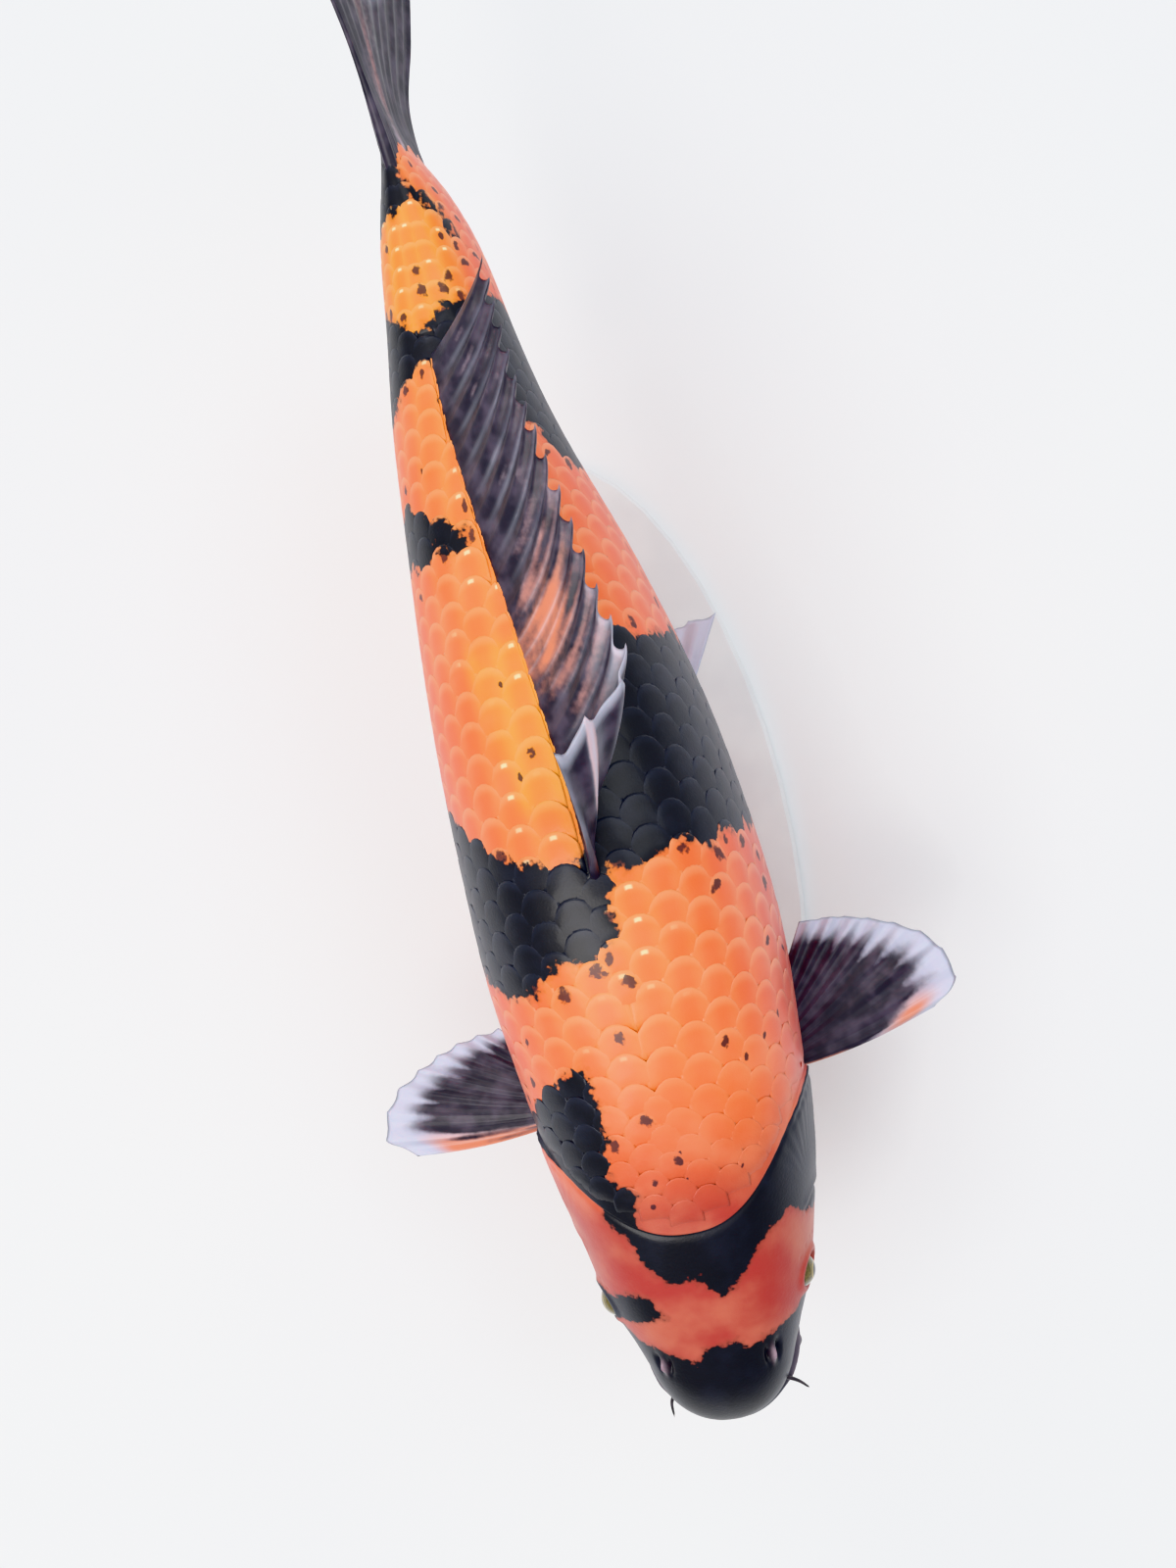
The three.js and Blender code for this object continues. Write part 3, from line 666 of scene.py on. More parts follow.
# %% [markdown]
# ## The skin
#
# The skin is a grid wrapped round the body: one way runs round the section from the
# belly seam, the other from the snout to the tail. Its rows follow the edge of the head,
# so the step behind the gill covers stays crisp. Behind that edge the skin lies a little
# deeper, to leave room for the scales. The head has no scales, and its shape is carved
# in by functions of the side view: a lip is a raised band at a set distance from the
# line of the mouth, a groove is a narrow dip along a path, a nostril is two pits with a
# flap between. Carving one continuous skin leaves no seam between the parts of a face.

# %% Paths of the face in the side view, in mm behind the snout and above the axis
MOUTH_LINE = [(-6, -10.2), (4, -10.8), (14, -12.6), (22, -15.2), (28, -18.6)]
CHEEK_FOLD = [(79, 19), (84, 8), (84, -6), (79, -19), (68, -30), (52, -37)]
LOWER_COVER_SEAM = [(84, -14), (98, -23), (112, -24), (122, -17)]
SNOUT_FOLD = [(33, -7), (32.5, -13), (34, -20), (38, -26)]
MOUTH_CORNER = [(15, -13.0), (24, -16.0)]
THROAT_FOLDS = [[(42, -40), (62, -42), (80, -44)], [(58, -36.5), (76, -38), (92, -42)]]
EYE_SPOT = (56.0, 9.0)
EYE_LATERAL = 33.7 * MM
EYE_RADIUS = 7.4 * MM
NOSTRIL = {"station": 0.0575, "degrees": 40, "length": 4.0, "width": 1.5}
INSET = 0.85 * MM
COVER_PROUD = 0.9
COVER_HUB = (84, 15)
COVER_RIBS = 38
PORE_RING = 13.0
PORE_DEPTH = 0.35
PORE_WIDTH = 0.7


def from_path(x, y, path):
    """Distance in the side view from a path of straight pieces."""
    return np.min([from_piece(x, y, start, end) for start, end in zip(path, path[1:])], axis=0)


print("eye behind the snout, mm:", EYE_SPOT[0])


# %% Carving the face, every length in mm


def carve_mouth(y, z):
    """Two fleshy lips that meet in a crease and join round the corner of the mouth."""
    off = from_path(y, z, MOUTH_LINE)
    upper = z > np.interp(y, *np.transpose(MOUTH_LINE))
    lip = bell(off - 2.1, 1.5) * np.where(upper, 1.35, 1.15)
    crease = 3.0 * bell(off, 0.75)
    fold = bell(off - 4.9, 0.95) * np.where(upper, 1.0, 0.75)
    corner = bell(from_path(y, z, MOUTH_CORNER), 4.2)
    return lip - crease - fold * (1 - corner) + 1.5 * corner, bell(off, 1.3), corner


def carve_eye(y, z):
    """A socket that goes in under the eyeball, with a soft rim round it."""
    off = np.hypot(y - EYE_SPOT[0], z - EYE_SPOT[1])
    brow = 0.7 * bell(off, 15) + 1.0 * bell(off - 7.6, 1.7)
    return brow - 5.0 * (1 - smooth_step(5.0, 6.9, off))


def carve_nostril(station, degrees):
    """Two pits in a line with a pale flap standing between them."""
    along = (station - NOSTRIL["station"]) * LENGTH / MM
    across = (np.abs(degrees) - NOSTRIL["degrees"]) * math.radians(1) * 29 + 0.25 * along
    flap = bell(along, NOSTRIL["length"]) ** 2 * bell(across, NOSTRIL["width"]) ** 2
    outer_pit = bell(along - 1.2, 3.4) * bell(across - 3.0, 1.25)
    inner_pit = bell(along + 0.6, 2.8) * bell(across + 2.8, 1.1)
    return 2.1 * flap - 2.3 * (outer_pit + inner_pit), flap


def carve_cheek(y, z):
    """The folds of the cheek and throat, and the domed gill cover with its fine ribs."""
    carved = -0.75 * bell(from_path(y, z, CHEEK_FOLD), 1.3)
    carved = carved + 0.35 * bell(from_path(y - 3.0, z, CHEEK_FOLD), 2.2)
    carved = carved - 0.50 * bell(from_path(y, z, LOWER_COVER_SEAM), 1.0)
    carved = carved - 0.50 * bell(from_path(y, z, SNOUT_FOLD), 1.2)
    for fold in THROAT_FOLDS:
        carved = carved - 0.60 * bell(from_path(y, z, fold), 1.2)
    from_hub = np.hypot(y - COVER_HUB[0], z - COVER_HUB[1])
    turn = np.arctan2(z - COVER_HUB[1], y - COVER_HUB[0])
    ribs = np.sin(COVER_RIBS * turn) * smooth_step(9, 16, from_hub) * smooth_step(84, 88, y)
    dome = 1.1 * bell(np.hypot(y - 102, (z + 2) * 0.8), 19)
    return carved + 0.11 * ribs * (1 - smooth_step(0.6, 1.2, turn)) + dome


def carve_pores(y, z):
    """The sensory pores that ring the eye and follow the cheek fold."""
    ring = np.radians(np.arange(-150, 61, 21))
    pores = [(EYE_SPOT[0] + PORE_RING * math.cos(t), EYE_SPOT[1] + PORE_RING * math.sin(t)) for t in ring]
    corners = np.linspace(0, 1, len(CHEEK_FOLD))
    for share in np.linspace(0.1, 0.95, 7):
        along, up = (np.interp(share, corners, line) for line in zip(*CHEEK_FOLD))
        pores.append((along - 3.2, up))
    return -PORE_DEPTH * sum(bell(np.hypot(y - along, z - up), PORE_WIDTH) for along, up in pores)


# %% Wrapping the grid round the body
SKIN_COLUMNS = 296
SKIN_ROWS = 324
HEAD_SHARE = 0.70
NOSE_DENSITY = 1.7
TRUNK_DENSITY = 1.5

skin_mesh = sheet_of_quads("skin", SKIN_COLUMNS, SKIN_ROWS)
grid = read_points(skin_mesh)
skin_degrees = 180 - 360 * grid[:, 0]
row = grid[:, 1]
edge = head_end(skin_degrees)
on_head = row <= HEAD_SHARE + 1e-6
head_row = np.clip(row / HEAD_SHARE, 0, 1)
trunk_row = np.clip((row - HEAD_SHARE) / (1 - HEAD_SHARE), 0, 1)
skin_station = np.where(
    on_head, edge * head_row**NOSE_DENSITY, edge + (1 - edge) * trunk_row**TRUNK_DENSITY)

skin_lateral, skin_height = section(skin_station, skin_degrees)
side_y, side_z = LENGTH * skin_station / MM, skin_height / MM
mouth, lip, corner = carve_mouth(side_y, side_z)
nostril, flap = carve_nostril(skin_station, skin_degrees)
carved = mouth + carve_eye(side_y, side_z) + nostril + carve_cheek(side_y, side_z)
carved = carved + carve_pores(side_y, side_z)

# %% The edge of the head
# The gill cover stands proud near its rear edge; over the nape the edge sinks instead.
before_edge = LENGTH * (edge - skin_station) / MM
on_cover = smooth_step(50, 68, np.abs(skin_degrees)) * (1 - smooth_step(140, 156, np.abs(skin_degrees)))
carved = carved + COVER_PROUD * on_cover * (1 - smooth_step(2, 24, before_edge))
carved = carved - 0.45 * on_cover * bell(before_edge - 3.4, 1.2)
carved = carved - 0.7 * (1 - on_cover) * bell(before_edge, 2.0)

standing = np.where(on_head, carved * MM, -INSET * (0.45 + 0.55 * smooth_step(0, 16, -before_edge)))
points = body_point(skin_station, skin_degrees)
points = points + outward(np.clip(skin_station, 0.004, 0.998), skin_degrees) * standing[:, None]

# The two ends close to a point: the snout by the body's own form, the tail here.
points[row > 1 - 1e-6] = place(1.0, 0.0, 0.0)
points[row < 1e-6] = place(0.0, 0.0, NOSE_LEVEL * LENGTH)
write_points(skin_mesh, points)

# %% The skin's markings
black_on_head, black_on_body = (
    black_depth(skin_station, skin_degrees, patches) for patches in (HEAD_PATCHES, BODY_PATCHES)
)
skin_black = np.where(on_head, black_on_head, black_on_body)
paint_markings(skin_mesh, skin_black, skin_station, skin_degrees)
write(skin_mesh, "pale", np.clip(1.4 * flap + 0.45 * corner, 0, 1) * on_head)
write(skin_mesh, "lip", 0.55 * lip * on_head)
close_and_turn_out(skin_mesh)

FLESH_NODES = [
    "trunk_front", "trunk_middle", "trunk_rear", "tail_stalk", "head", "gill_cover_left",
    "gill_cover_right", "nostril_flap_left", "nostril_flap_right", "lower_jaw", "upper_lip",
]
add_piece("skin", skin_mesh, skin_finish.material, FLESH_NODES)

# %% [markdown]
# ## The scales
#
# A carp wears about thirty-six large scales along its side, laid like roof tiles from
# head to tail, each row set half a scale behind its neighbours. The rows run along the
# lateral line and drop out at the ridge and the belly as the body tapers. One scale is
# modelled once, as a small shield with a rounded free edge and a little thickness. An
# array joins as many copies as are needed, and each copy is then bent onto the body:
# its root sinks into the skin and its free edge lies just over the next scale.

# %% One scale: a shield with its top rounded off at the rim
SCALE_ACROSS = [-1, -0.86, -0.56, -0.28, 0, 0.28, 0.56, 0.86, 1]
SCALE_ALONG = [0, 0.34, 0.60, 0.77, 0.88, 0.95, 1]
WALL_MARGIN = 1.14
BACK_MAP_PLACE = 1.45


def one_scale():
    """A closed scale in its own terms: x across from -1 to 1, y along from 0 to 1, z 0 on top."""
    bm = bmesh.new()
    uv = bm.loops.layers.uv.new("OFBake")
    columns, levels = len(SCALE_ACROSS) - 1, len(SCALE_ALONG) - 1
    bmesh.ops.create_grid(bm, x_segments=columns, y_segments=levels, size=1)
    for vert in bm.verts:
        column = round((vert.co.x + 1) / 2 * columns)
        level = round((vert.co.y + 1) / 2 * levels)
        vert.co = (SCALE_ACROSS[column], SCALE_ALONG[level], 0)
    rim = [e for e in bm.edges if e.is_boundary]
    wall = bmesh.ops.extrude_edge_only(bm, edges=rim)["geom"]
    lower = [v for v in wall if isinstance(v, bmesh.types.BMVert)]
    bmesh.ops.translate(bm, verts=lower, vec=(0, 0, -1))
    back = bmesh.ops.edgeloop_fill(bm, edges=[e for e in bm.edges if e.is_boundary])["faces"]
    bmesh.ops.recalc_face_normals(bm, faces=bm.faces)
    # The top fills a patch of the map, its wall a frame round that, its back a patch beside it.
    for face in bm.faces:
        for loop in face.loops:
            x, y, z = loop.vert.co
            margin = 1 if z > -0.5 else WALL_MARGIN
            loop[uv].uv = (0.5 + 0.5 * x * margin, 0.5 + (y - 0.5) * margin)
            if face in back:
                loop[uv].uv = (BACK_MAP_PLACE + 0.25 * x, 0.25 + 0.5 * y)
    return as_mesh(bm, "one_scale")


scale_mesh = one_scale()
scale_form = read_points(scale_mesh)
print("faces of one scale:", len(scale_mesh.polygons))

# %% Where the rows run
SCALE_PITCH = 11.6 * MM
ROW_SPACING = 12.4 * MM
LATERAL_LINE = 0.47
FIRST_SCALE = 0.15
TAIL_LINE = 1.006
FIN_BASE = (0.432, 0.832)
MOST_ROWS = 11
scale_size = curve(
    (0.15, 0.68), (0.2, 0.80), (0.27, 0.95), (0.36, 1.02), (0.55, 1), (0.75, 0.84),
    (0.9, 0.68), (1, 0.6),
)

# For a set of stations, the degrees at which each share of the way to the belly is reached.
share_stations = np.linspace(0.10, 1.0, 91)
share_steps = np.linspace(0, 1, 121)
half_turn = np.linspace(0, 180, 181)


def degrees_down(station):
    """At one station, the degrees from the ridge for even steps of the way to the belly."""
    arc = np.cumsum(pieces_of_half_turn(station, half_turn))
    return np.interp(share_steps, np.concatenate([[0], arc]) / arc[-1], half_turn)


degrees_for_share = np.array([degrees_down(station) for station in share_stations])


def read_table(table, i, j):
    """What a table holds at row i and column j, where both may lie between two of its own."""
    i = np.clip(i, 0, table.shape[0] - 1 - 1e-6)
    j = np.clip(j, 0, table.shape[1] - 1 - 1e-6)
    i0, j0 = i.astype(int), j.astype(int)
    fi, fj = i - i0, j - j0
    near = table[i0, j0] * (1 - fj) + table[i0, j0 + 1] * fj
    far = table[i0 + 1, j0] * (1 - fj) + table[i0 + 1, j0 + 1] * fj
    return near * (1 - fi) + far * fi


def degrees_at(station, share):
    """Degrees from the ridge for a share of the way down to the belly, past either end too."""
    down = np.where(share > 1, 2 - share, np.abs(share))
    i = (station - share_stations[0]) / (share_stations[1] - share_stations[0])
    degrees = read_table(degrees_for_share, i, down / share_steps[1])
    return np.where(share > 1, 360 - degrees, np.where(share < 0, -degrees, degrees))


def row_arc(station, row_number):
    """How far down from the ridge a row runs, counted upwards from the lateral line."""
    return LATERAL_LINE * girth(station) / 2 - row_number * ROW_SPACING * scale_size(station)


fine_stations = np.linspace(FIRST_SCALE, 1.0, 3000)
pitches = LENGTH * np.diff(fine_stations) / (SCALE_PITCH * scale_size(fine_stations[1:]))
scales_so_far = np.concatenate([[0], np.cumsum(pitches)])


def scale_roots():
    """Every scale's root: station, row, side, and 1 or -1 for one on the ridge or the belly."""
    found = []
    for half_step in range(int(scales_so_far[-1]) * 2):
        station = float(np.interp(half_step / 2, scales_so_far, fine_stations))
        spacing = ROW_SPACING * scale_size(station)
        half_girth = girth(station) / 2
        arcs = {number: row_arc(station, number) for number in range(-MOST_ROWS, MOST_ROWS + 1)}
        beside_fin = FIN_BASE[0] < station < FIN_BASE[1]
        first = (0.05 if beside_fin else 0.36) * spacing
        last = half_girth - 0.30 * spacing
        kept = {number: arc for number, arc in arcs.items() if first < arc < last}
        for number in kept:
            if (number + half_step) % 2 == 0:
                found += [(station, number, 1, 0), (station, number, -1, 0)]
        if half_step % 2 == 0 and not beside_fin and min(kept.values()) > 0.62 * spacing:
            found.append((station, 0, 1, 1))
        if half_step % 2 == 0 and half_girth - max(kept.values()) > 0.55 * spacing:
            found.append((station, 0, 1, -1))
    return np.array(found)


print("scales in a row from head to tail:", round(float(scales_so_far[-1])))

# %% Bending every scale onto the body
SCALE_REACH = 1.58
SCALE_HALF_WIDTH = 0.70
SCALE_THICKNESS = 0.16 * MM
FREE_EDGE = 0.03 * MM
SCALE_RISE = 0.21 * MM
SCALE_CAMBER = 0.10 * MM
ROUND_RIM = 0.11 * MM
RIM_THICKNESS = 0.4
UNDER_HEAD = 0.6
shuffle = np.random.default_rng(7)


def bend_scales(roots, jitter):
    """For the points of every scale: where they lie, their station and their degrees."""
    root_station, number, side, midline = (roots[:, k][:, None] for k in range(4))
    x, y, z = (scale_form[:, k][None, :] for k in range(3))
    size = scale_size(root_station)
    pitch = SCALE_PITCH * size
    end = 1 - 0.36 * np.abs(x) ** 2.3
    along = 0.10 * x**2 * (1 - y) + end * y
    station = root_station + (along * SCALE_REACH + jitter[:, 0:1] * 0.05) * pitch / LENGTH
    held = np.minimum(station, 1.0)
    half_girth = girth(held) / 2
    arc = np.where(midline == 0, row_arc(held, number), np.where(midline > 0, 0, half_girth))
    arc = arc + x * SCALE_HALF_WIDTH * ROW_SPACING * size + jitter[:, 1:2] * 0.03 * pitch
    # Beside the dorsal fin a scale stops at the ridge instead of crossing it.
    beside_fin = smooth_step(FIN_BASE[0] - 0.004, FIN_BASE[0] + 0.012, held) * (held < FIN_BASE[1])
    stopped = 1.2 * MM * np.log1p(np.exp(np.clip(arc / (1.2 * MM), -30, 30)))
    arc = arc + (stopped - arc) * beside_fin * (arc < 12 * MM)
    degrees = side * degrees_at(held, arc / half_girth)
    # The relief is softer near the nape, where the skin is thick over the scales.
    relief = 0.24 + 0.76 * smooth_step(0.20, 0.38, root_station)
    near_rim = np.clip((np.maximum(y, np.abs(x)) - 0.72) / 0.28, 0, 1)
    lift = FREE_EDGE - SCALE_RISE * (1 - along) + jitter[:, 2:3] * 0.025 * MM
    lift = lift - SCALE_CAMBER * x**2 - ROUND_RIM * near_rim**2
    lift = lift + z * SCALE_THICKNESS * size * (1 - (1 - RIM_THICKNESS) * near_rim)
    lift = relief * lift - 1.5 * MM * np.clip(1 - along / 0.22, 0, 1) ** 2
    # The first scales dive under the edge of the head.
    behind_head = LENGTH * (held - head_end(degrees))
    lift = lift - 2.6 * MM * (1 - smooth_step(-1 * MM, 4 * MM, behind_head))
    at = body_point(held, degrees) + outward(np.minimum(held, 0.998), degrees) * lift[..., None]
    at[..., 1] += LENGTH * (station - held)
    return at, held, degrees


def kept_roots(roots):
    """Leaves out scales that would lie under the head or reach past the root of the tail."""
    pitch = SCALE_PITCH * scale_size(roots[:, 0]) / LENGTH
    half_girth = girth(roots[:, 0]) / 2
    arc = np.where(roots[:, 3] == 0, row_arc(roots[:, 0], roots[:, 1]), (roots[:, 3] < 0) * half_girth)
    degrees = degrees_at(roots[:, 0], arc / half_girth)
    behind_head = roots[:, 0] > head_end(degrees) - UNDER_HEAD * pitch
    before_tail = roots[:, 0] + SCALE_REACH * pitch < TAIL_LINE
    return roots[behind_head & before_tail]


roots = kept_roots(scale_roots())
print("scales:", len(roots))

# %% What the finish needs to know of each scale
MAP_PATCH = 0.012
MAP_START = 0.14
MAP_WIDTH = 0.97


def paint_scales(mesh, roots, jitter, station, degrees):
    """Writes each scale's markings, its own tone, its speck and the place of each point on it."""
    tone, slim, edge_tone, wide, luck = (jitter[:, k:k + 1] for k in (0, 2, 3, 4, 5))
    own = black_depth(station, degrees, BODY_PATCHES)
    black = 0.55 * own + 0.45 * own.mean(1, keepdims=True) + edge_tone * 1.3 * MM
    paint_markings(mesh, black, station, degrees)
    crisp = smooth_step(0.20, 0.36, station)
    write(mesh, "crisp", crisp)
    write(mesh, "shade", tone * (0.35 + 0.65 * crisp))
    x, y = scale_form[:, 0], scale_form[:, 1]
    write(mesh, "across", np.tile(x, len(roots)))
    write(mesh, "along", np.tile(y, len(roots)))
    # A speck is a small dark oval on one scale, measured here in its own half widths.
    likely = speckled(station, degrees, own).mean(1)[:, None]
    speckless = 8.0 * (0.5 + 0.5 * luck > likely)
    spread = 0.55 + 0.7 * np.minimum(likely, 0.7)
    half_across, half_along = spread * (0.34 + 0.14 * wide), spread * (0.17 - 0.06 * slim)
    write(mesh, "speck_x", (x - 0.45 * edge_tone) / half_across + speckless)
    write(mesh, "speck_y", (y - 0.73 - 0.10 * wide) / half_along)
    on_line = (roots[:, 1] == 0) & (roots[:, 3] == 0)
    write(mesh, "line", np.repeat(on_line, len(scale_form)))


def map_scales(mesh, roots, degrees):
    """On the bake map a scale sits where its root sits on the skin's own unwrap."""
    corners = len(scale_mesh.loops)
    local = np.empty(2 * corners, np.float32)
    scale_mesh.uv_layers["OFBake"].uv.foreach_get("vector", local)
    patch = np.repeat(MAP_PATCH * scale_size(roots[:, 0]), corners)
    root_u = np.repeat((180 - degrees[:, 0]) / 360, corners) % MAP_WIDTH
    u = root_u + patch * np.tile(local[0::2], len(roots))
    v = np.repeat(roots[:, 0], corners) - MAP_START + patch * np.tile(local[1::2], len(roots))
    mesh.uv_layers["OFBake"].uv.foreach_set("vector", np.stack([u, v], 1).astype(np.float32).ravel())


def joined_scales(name, roots):
    """One mesh of many scales, each bent onto the body at its root."""
    jitter = shuffle.uniform(-1, 1, (len(roots), 6))
    template = link(bpy.data.objects.new(name, scale_mesh))
    template.modifiers.new("copies", "ARRAY").count = len(roots)
    bpy.context.view_layer.update()
    seen = template.evaluated_get(bpy.context.evaluated_depsgraph_get())
    mesh = bpy.data.meshes.new_from_object(seen)
    bpy.data.objects.remove(template)
    at, station, degrees = bend_scales(roots, jitter)
    write_points(mesh, at.reshape(-1, 3))
    paint_scales(mesh, roots, jitter, station, degrees)
    map_scales(mesh, roots, degrees)
    return mesh


# %% The finish of the scales: a pale net of rims over deeper hearts
DEEP_ORANGE = paint(222, 70, 28)

scale_finish = Finish("koi_scale", roughness=0.44, coat=0.20, coat_roughness=0.15, depth=0.05, shine=0.35)
along = scale_finish.read("along")
across = scale_finish.math("ABSOLUTE", scale_finish.read("across"))
crisp = scale_finish.read("crisp")
rim = scale_finish.ramp(scale_finish.math("MAXIMUM", along, across), 0.76, 0.97)
heart = scale_finish.times(scale_finish.ramp(along, 0.94, 0.70), scale_finish.ramp(across, 0.8, 0.1), crisp)
orange = scale_finish.mix(scale_finish.times(heart, 0.30), koi_orange(scale_finish), DEEP_ORANGE)
orange = scale_finish.mix(scale_finish.times(rim, crisp, 0.21), orange, PEACH)

# %% The finish of the scales: painted glints, small painted highlights, and dark specks
PAINTED_GLINT = paint(255, 240, 190)
SPECK = paint(54, 26, 40)

# Painted highlights: a small pale glint near the free edge of some golden scales stands in for light
# mirrored by the wet scale.
glint_scales = scale_finish.times(
    scale_finish.ramp(scale_finish.read("shade"), 0.12, 0.36),
    scale_finish.ramp(scale_finish.read("gold"), 0.12, 0.40),
)
glint_spot = scale_finish.times(
    scale_finish.ramp(along, 0.83, 0.87),
    scale_finish.ramp(along, 0.95, 0.91),
    scale_finish.ramp(across, 0.21, 0.09),
)
orange = scale_finish.mix(scale_finish.times(glint_scales, glint_spot, 0.85), orange, PAINTED_GLINT)
speck_x, speck_y = scale_finish.read("speck_x"), scale_finish.read("speck_y")
speck_off = scale_finish.math(
    "ADD", scale_finish.times(speck_x, speck_x), scale_finish.times(speck_y, speck_y))
speck_off = scale_finish.math("ADD", speck_off, scale_finish.times(scale_finish.noise(2.2 * MM, 2), 3.0))
orange = scale_finish.mix(scale_finish.times(scale_finish.ramp(speck_off, 2.7, 1.9), 0.9), orange, SPECK)

# %% The finish of the scales: the black, a painted bluish sheen on its rims and the pores of the lateral line
BLACK_RIM_SHEEN = paint(84, 92, 122)

scale_depth = frayed_black(scale_finish)
# Painted sheen: the rims of black scales are lightened towards a bluish grey, as if catching light.
painted_rim_sheen = scale_finish.times(scale_finish.ramp(scale_depth, 0.3, 1.2), rim, 0.08)
coloured = koi_black(scale_finish, orange, scale_depth)
coloured = scale_finish.mix(painted_rim_sheen, coloured, BLACK_RIM_SHEEN)
pore = scale_finish.times(
    scale_finish.read("line"),
    scale_finish.ramp(across, 0.13, 0.05),
    scale_finish.ramp(along, 0.60, 0.66),
    scale_finish.ramp(along, 0.90, 0.84),
    scale_finish.ramp(scale_depth, 0.6, -1.0),
)
scale_finish.set("Base Color", scale_finish.mix(scale_finish.times(pore, 0.5), coloured, BROWN))
scale_finish.bump(scale_finish.noise(0.9 * MM, 3), 0.08 * MM)
print("scale nodes:", len(scale_finish.tree.nodes))

# %% The scales of both flanks
FLANKS = {"left": 1, "right": -1}

for hand, side in FLANKS.items():
    flank_mesh = joined_scales(f"scales_{hand}", roots[roots[:, 2] == side])
    add_piece(f"scales_{hand}", flank_mesh, scale_finish.material)

# %% [markdown]
# ## The fins
#
# A fin is a web of thin skin on bony rays. The rays leave the root close together, fan
# out, split towards their ends and stand a little proud of the web on both sides. Each
# fin is modelled as one closed sheet: a grid that runs out along one side, round the
# last ray and back along the other. A function gives the middle of the fin, another its
# thickness, and the same two serve all the fins. The web draws back between the rays, so
# the free edge is toothed, and its pleats deepen towards that edge.

# %% A sheet with two sides
RAGGED = 0.25
RAY_PROUD = 0.24
RAY_WIDTH = 0.10
RAY_SPLIT = 0.13


def streaks(u, v, count, seed):
    """Random values from -1 to 1 that change quickly across the rays and slowly along them."""
    table = np.random.default_rng(seed).uniform(-1, 1, (count + 1, 6))
    i = np.clip(u * count, 0, count - 1e-6)
    return read_table(table, np.floor(i) + smooth_step(0, 1, i % 1), v * 5)


def fin_thickness(web, root, spine=0.0, spine_width=1.0):
    """Thickness in mm: of the web, added at the root, and of the stout ray in front."""
    return lambda u, v: web + root * (1 - v) ** 2 + spine * bell(u, spine_width) * (1 - 0.7 * v)


def fin_piece(name, nodes, middle, thickness, colours, rays, pleat, tooth, seed, rows=40, columns=8):
    """A finished fin. Across it u runs from the front ray to the last, and v from root to tip."""
    mesh = sheet_of_quads(name, 2 * rays * columns, rows)
    grid = read_points(mesh)
    side = np.where(grid[:, 0] < 0.5, 1, -1)
    u = 1 - np.abs(1 - 2 * grid[:, 0])
    v = grid[:, 1]
    ray = u * rays
    # The free edge draws back behind every second ray, and no two teeth are quite alike.
    notch = np.sin(np.pi * (ray / 2 % 1) ** 0.7)
    uneven = 1 + RAGGED * tooth * v * streaks(u, v, rays, seed)
    reach = np.minimum(v * (1 - tooth * v**2 * notch) * uneven, 1)
    step = 0.002
    at = middle(u, reach)
    across = middle(np.minimum(u + step, 1), reach) - middle(np.maximum(u - step, 0), reach)
    out = middle(u, np.minimum(reach + step, 1)) - middle(u, np.maximum(reach - step, 0))
    normal = np.cross(across, out)
    normal = normal / np.maximum(np.linalg.norm(normal, axis=1, keepdims=True), 1e-12)
    # Each ray splits in two towards its end.
    from_ray = np.abs(np.abs(ray - np.round(ray)) - RAY_SPLIT * smooth_step(0.45, 0.8, v))
    ridge = bell(from_ray, RAY_WIDTH) * (1 - 0.55 * v)
    joints = 0.5 + 0.5 * np.cos(2 * math.pi * v * rows / 3)
    inner = (u > 0) & (u < 1) & (v > 0) & (v < 1)
    half = 0.5 * thickness(u, v) + RAY_PROUD * ridge * (0.8 + 0.2 * joints)
    fold = pleat * v**0.8 * np.cos(math.pi * ray) * (1 + 0.35 * streaks(u, v, rays // 2, seed + 1))
    write_points(mesh, at + normal * ((fold + side * half * inner) * MM)[:, None])
    dark, warm, rim = colours(u, v, streaks(u, v, 2 * rays, seed + 2))
    for word, values in (("dark", dark), ("warm", warm), ("rim", rim), ("ray", ridge)):
        write(mesh, word, values)
    close_and_turn_out(mesh)
    return add_piece(name, mesh, fin_finish.material, nodes)


def root_to_tip(u, reach, start, end):
    """A point between the root of a ray and its tip, each given as a place."""
    return start + (end - start) * reach[:, None]


# %% The finish of the fins
WEB = paint(170, 178, 200)
WARM_WEB = paint(206, 128, 98)
FIN_DARK = paint(38, 34, 48)
FIN_BROWN = paint(76, 68, 84)
LILAC = paint(188, 191, 208)
RAY_PALE_AND_HIGHLIGHT = paint(216, 206, 214)

fin_finish = Finish("koi_fin", roughness=0.45, coat=0.15, coat_roughness=0.2, depth=0.10, shine=0.35)
web = fin_finish.mix(fin_finish.read("warm"), WEB, WARM_WEB)
# The proud rays are paler: partly their own colour, partly a painted highlight along their ridges.
web = fin_finish.mix(fin_finish.times(fin_finish.read("ray"), 0.35), web, RAY_PALE_AND_HIGHLIGHT)
fin_dark = fin_finish.math("ADD", fin_finish.read("dark"), fin_finish.stray(2.8 * MM, 2, 0.26))
ink = fin_finish.mix(fin_finish.ramp(fin_finish.noise(9 * MM, 2), 0.35, 0.75), FIN_DARK, FIN_BROWN)
haze = fin_finish.times(fin_finish.ramp(fin_dark, 0.15, 0.5), 0.5)
fin_colour = fin_finish.mix(haze, web, FIN_BROWN)
fin_colour = fin_finish.mix(fin_finish.ramp(fin_dark, 0.36, 0.70), fin_colour, ink)
# On the dorsal fin this rim share also carries the painted highlight of each fold's pale ray.
rim_share = fin_finish.times(fin_finish.read("rim"), 0.85)
fin_finish.set("Base Color", fin_finish.mix(rim_share, fin_colour, LILAC))
fin_finish.bump(fin_finish.noise(0.8 * MM, 2), 0.06 * MM)
print("fin nodes:", len(fin_finish.tree.nodes))

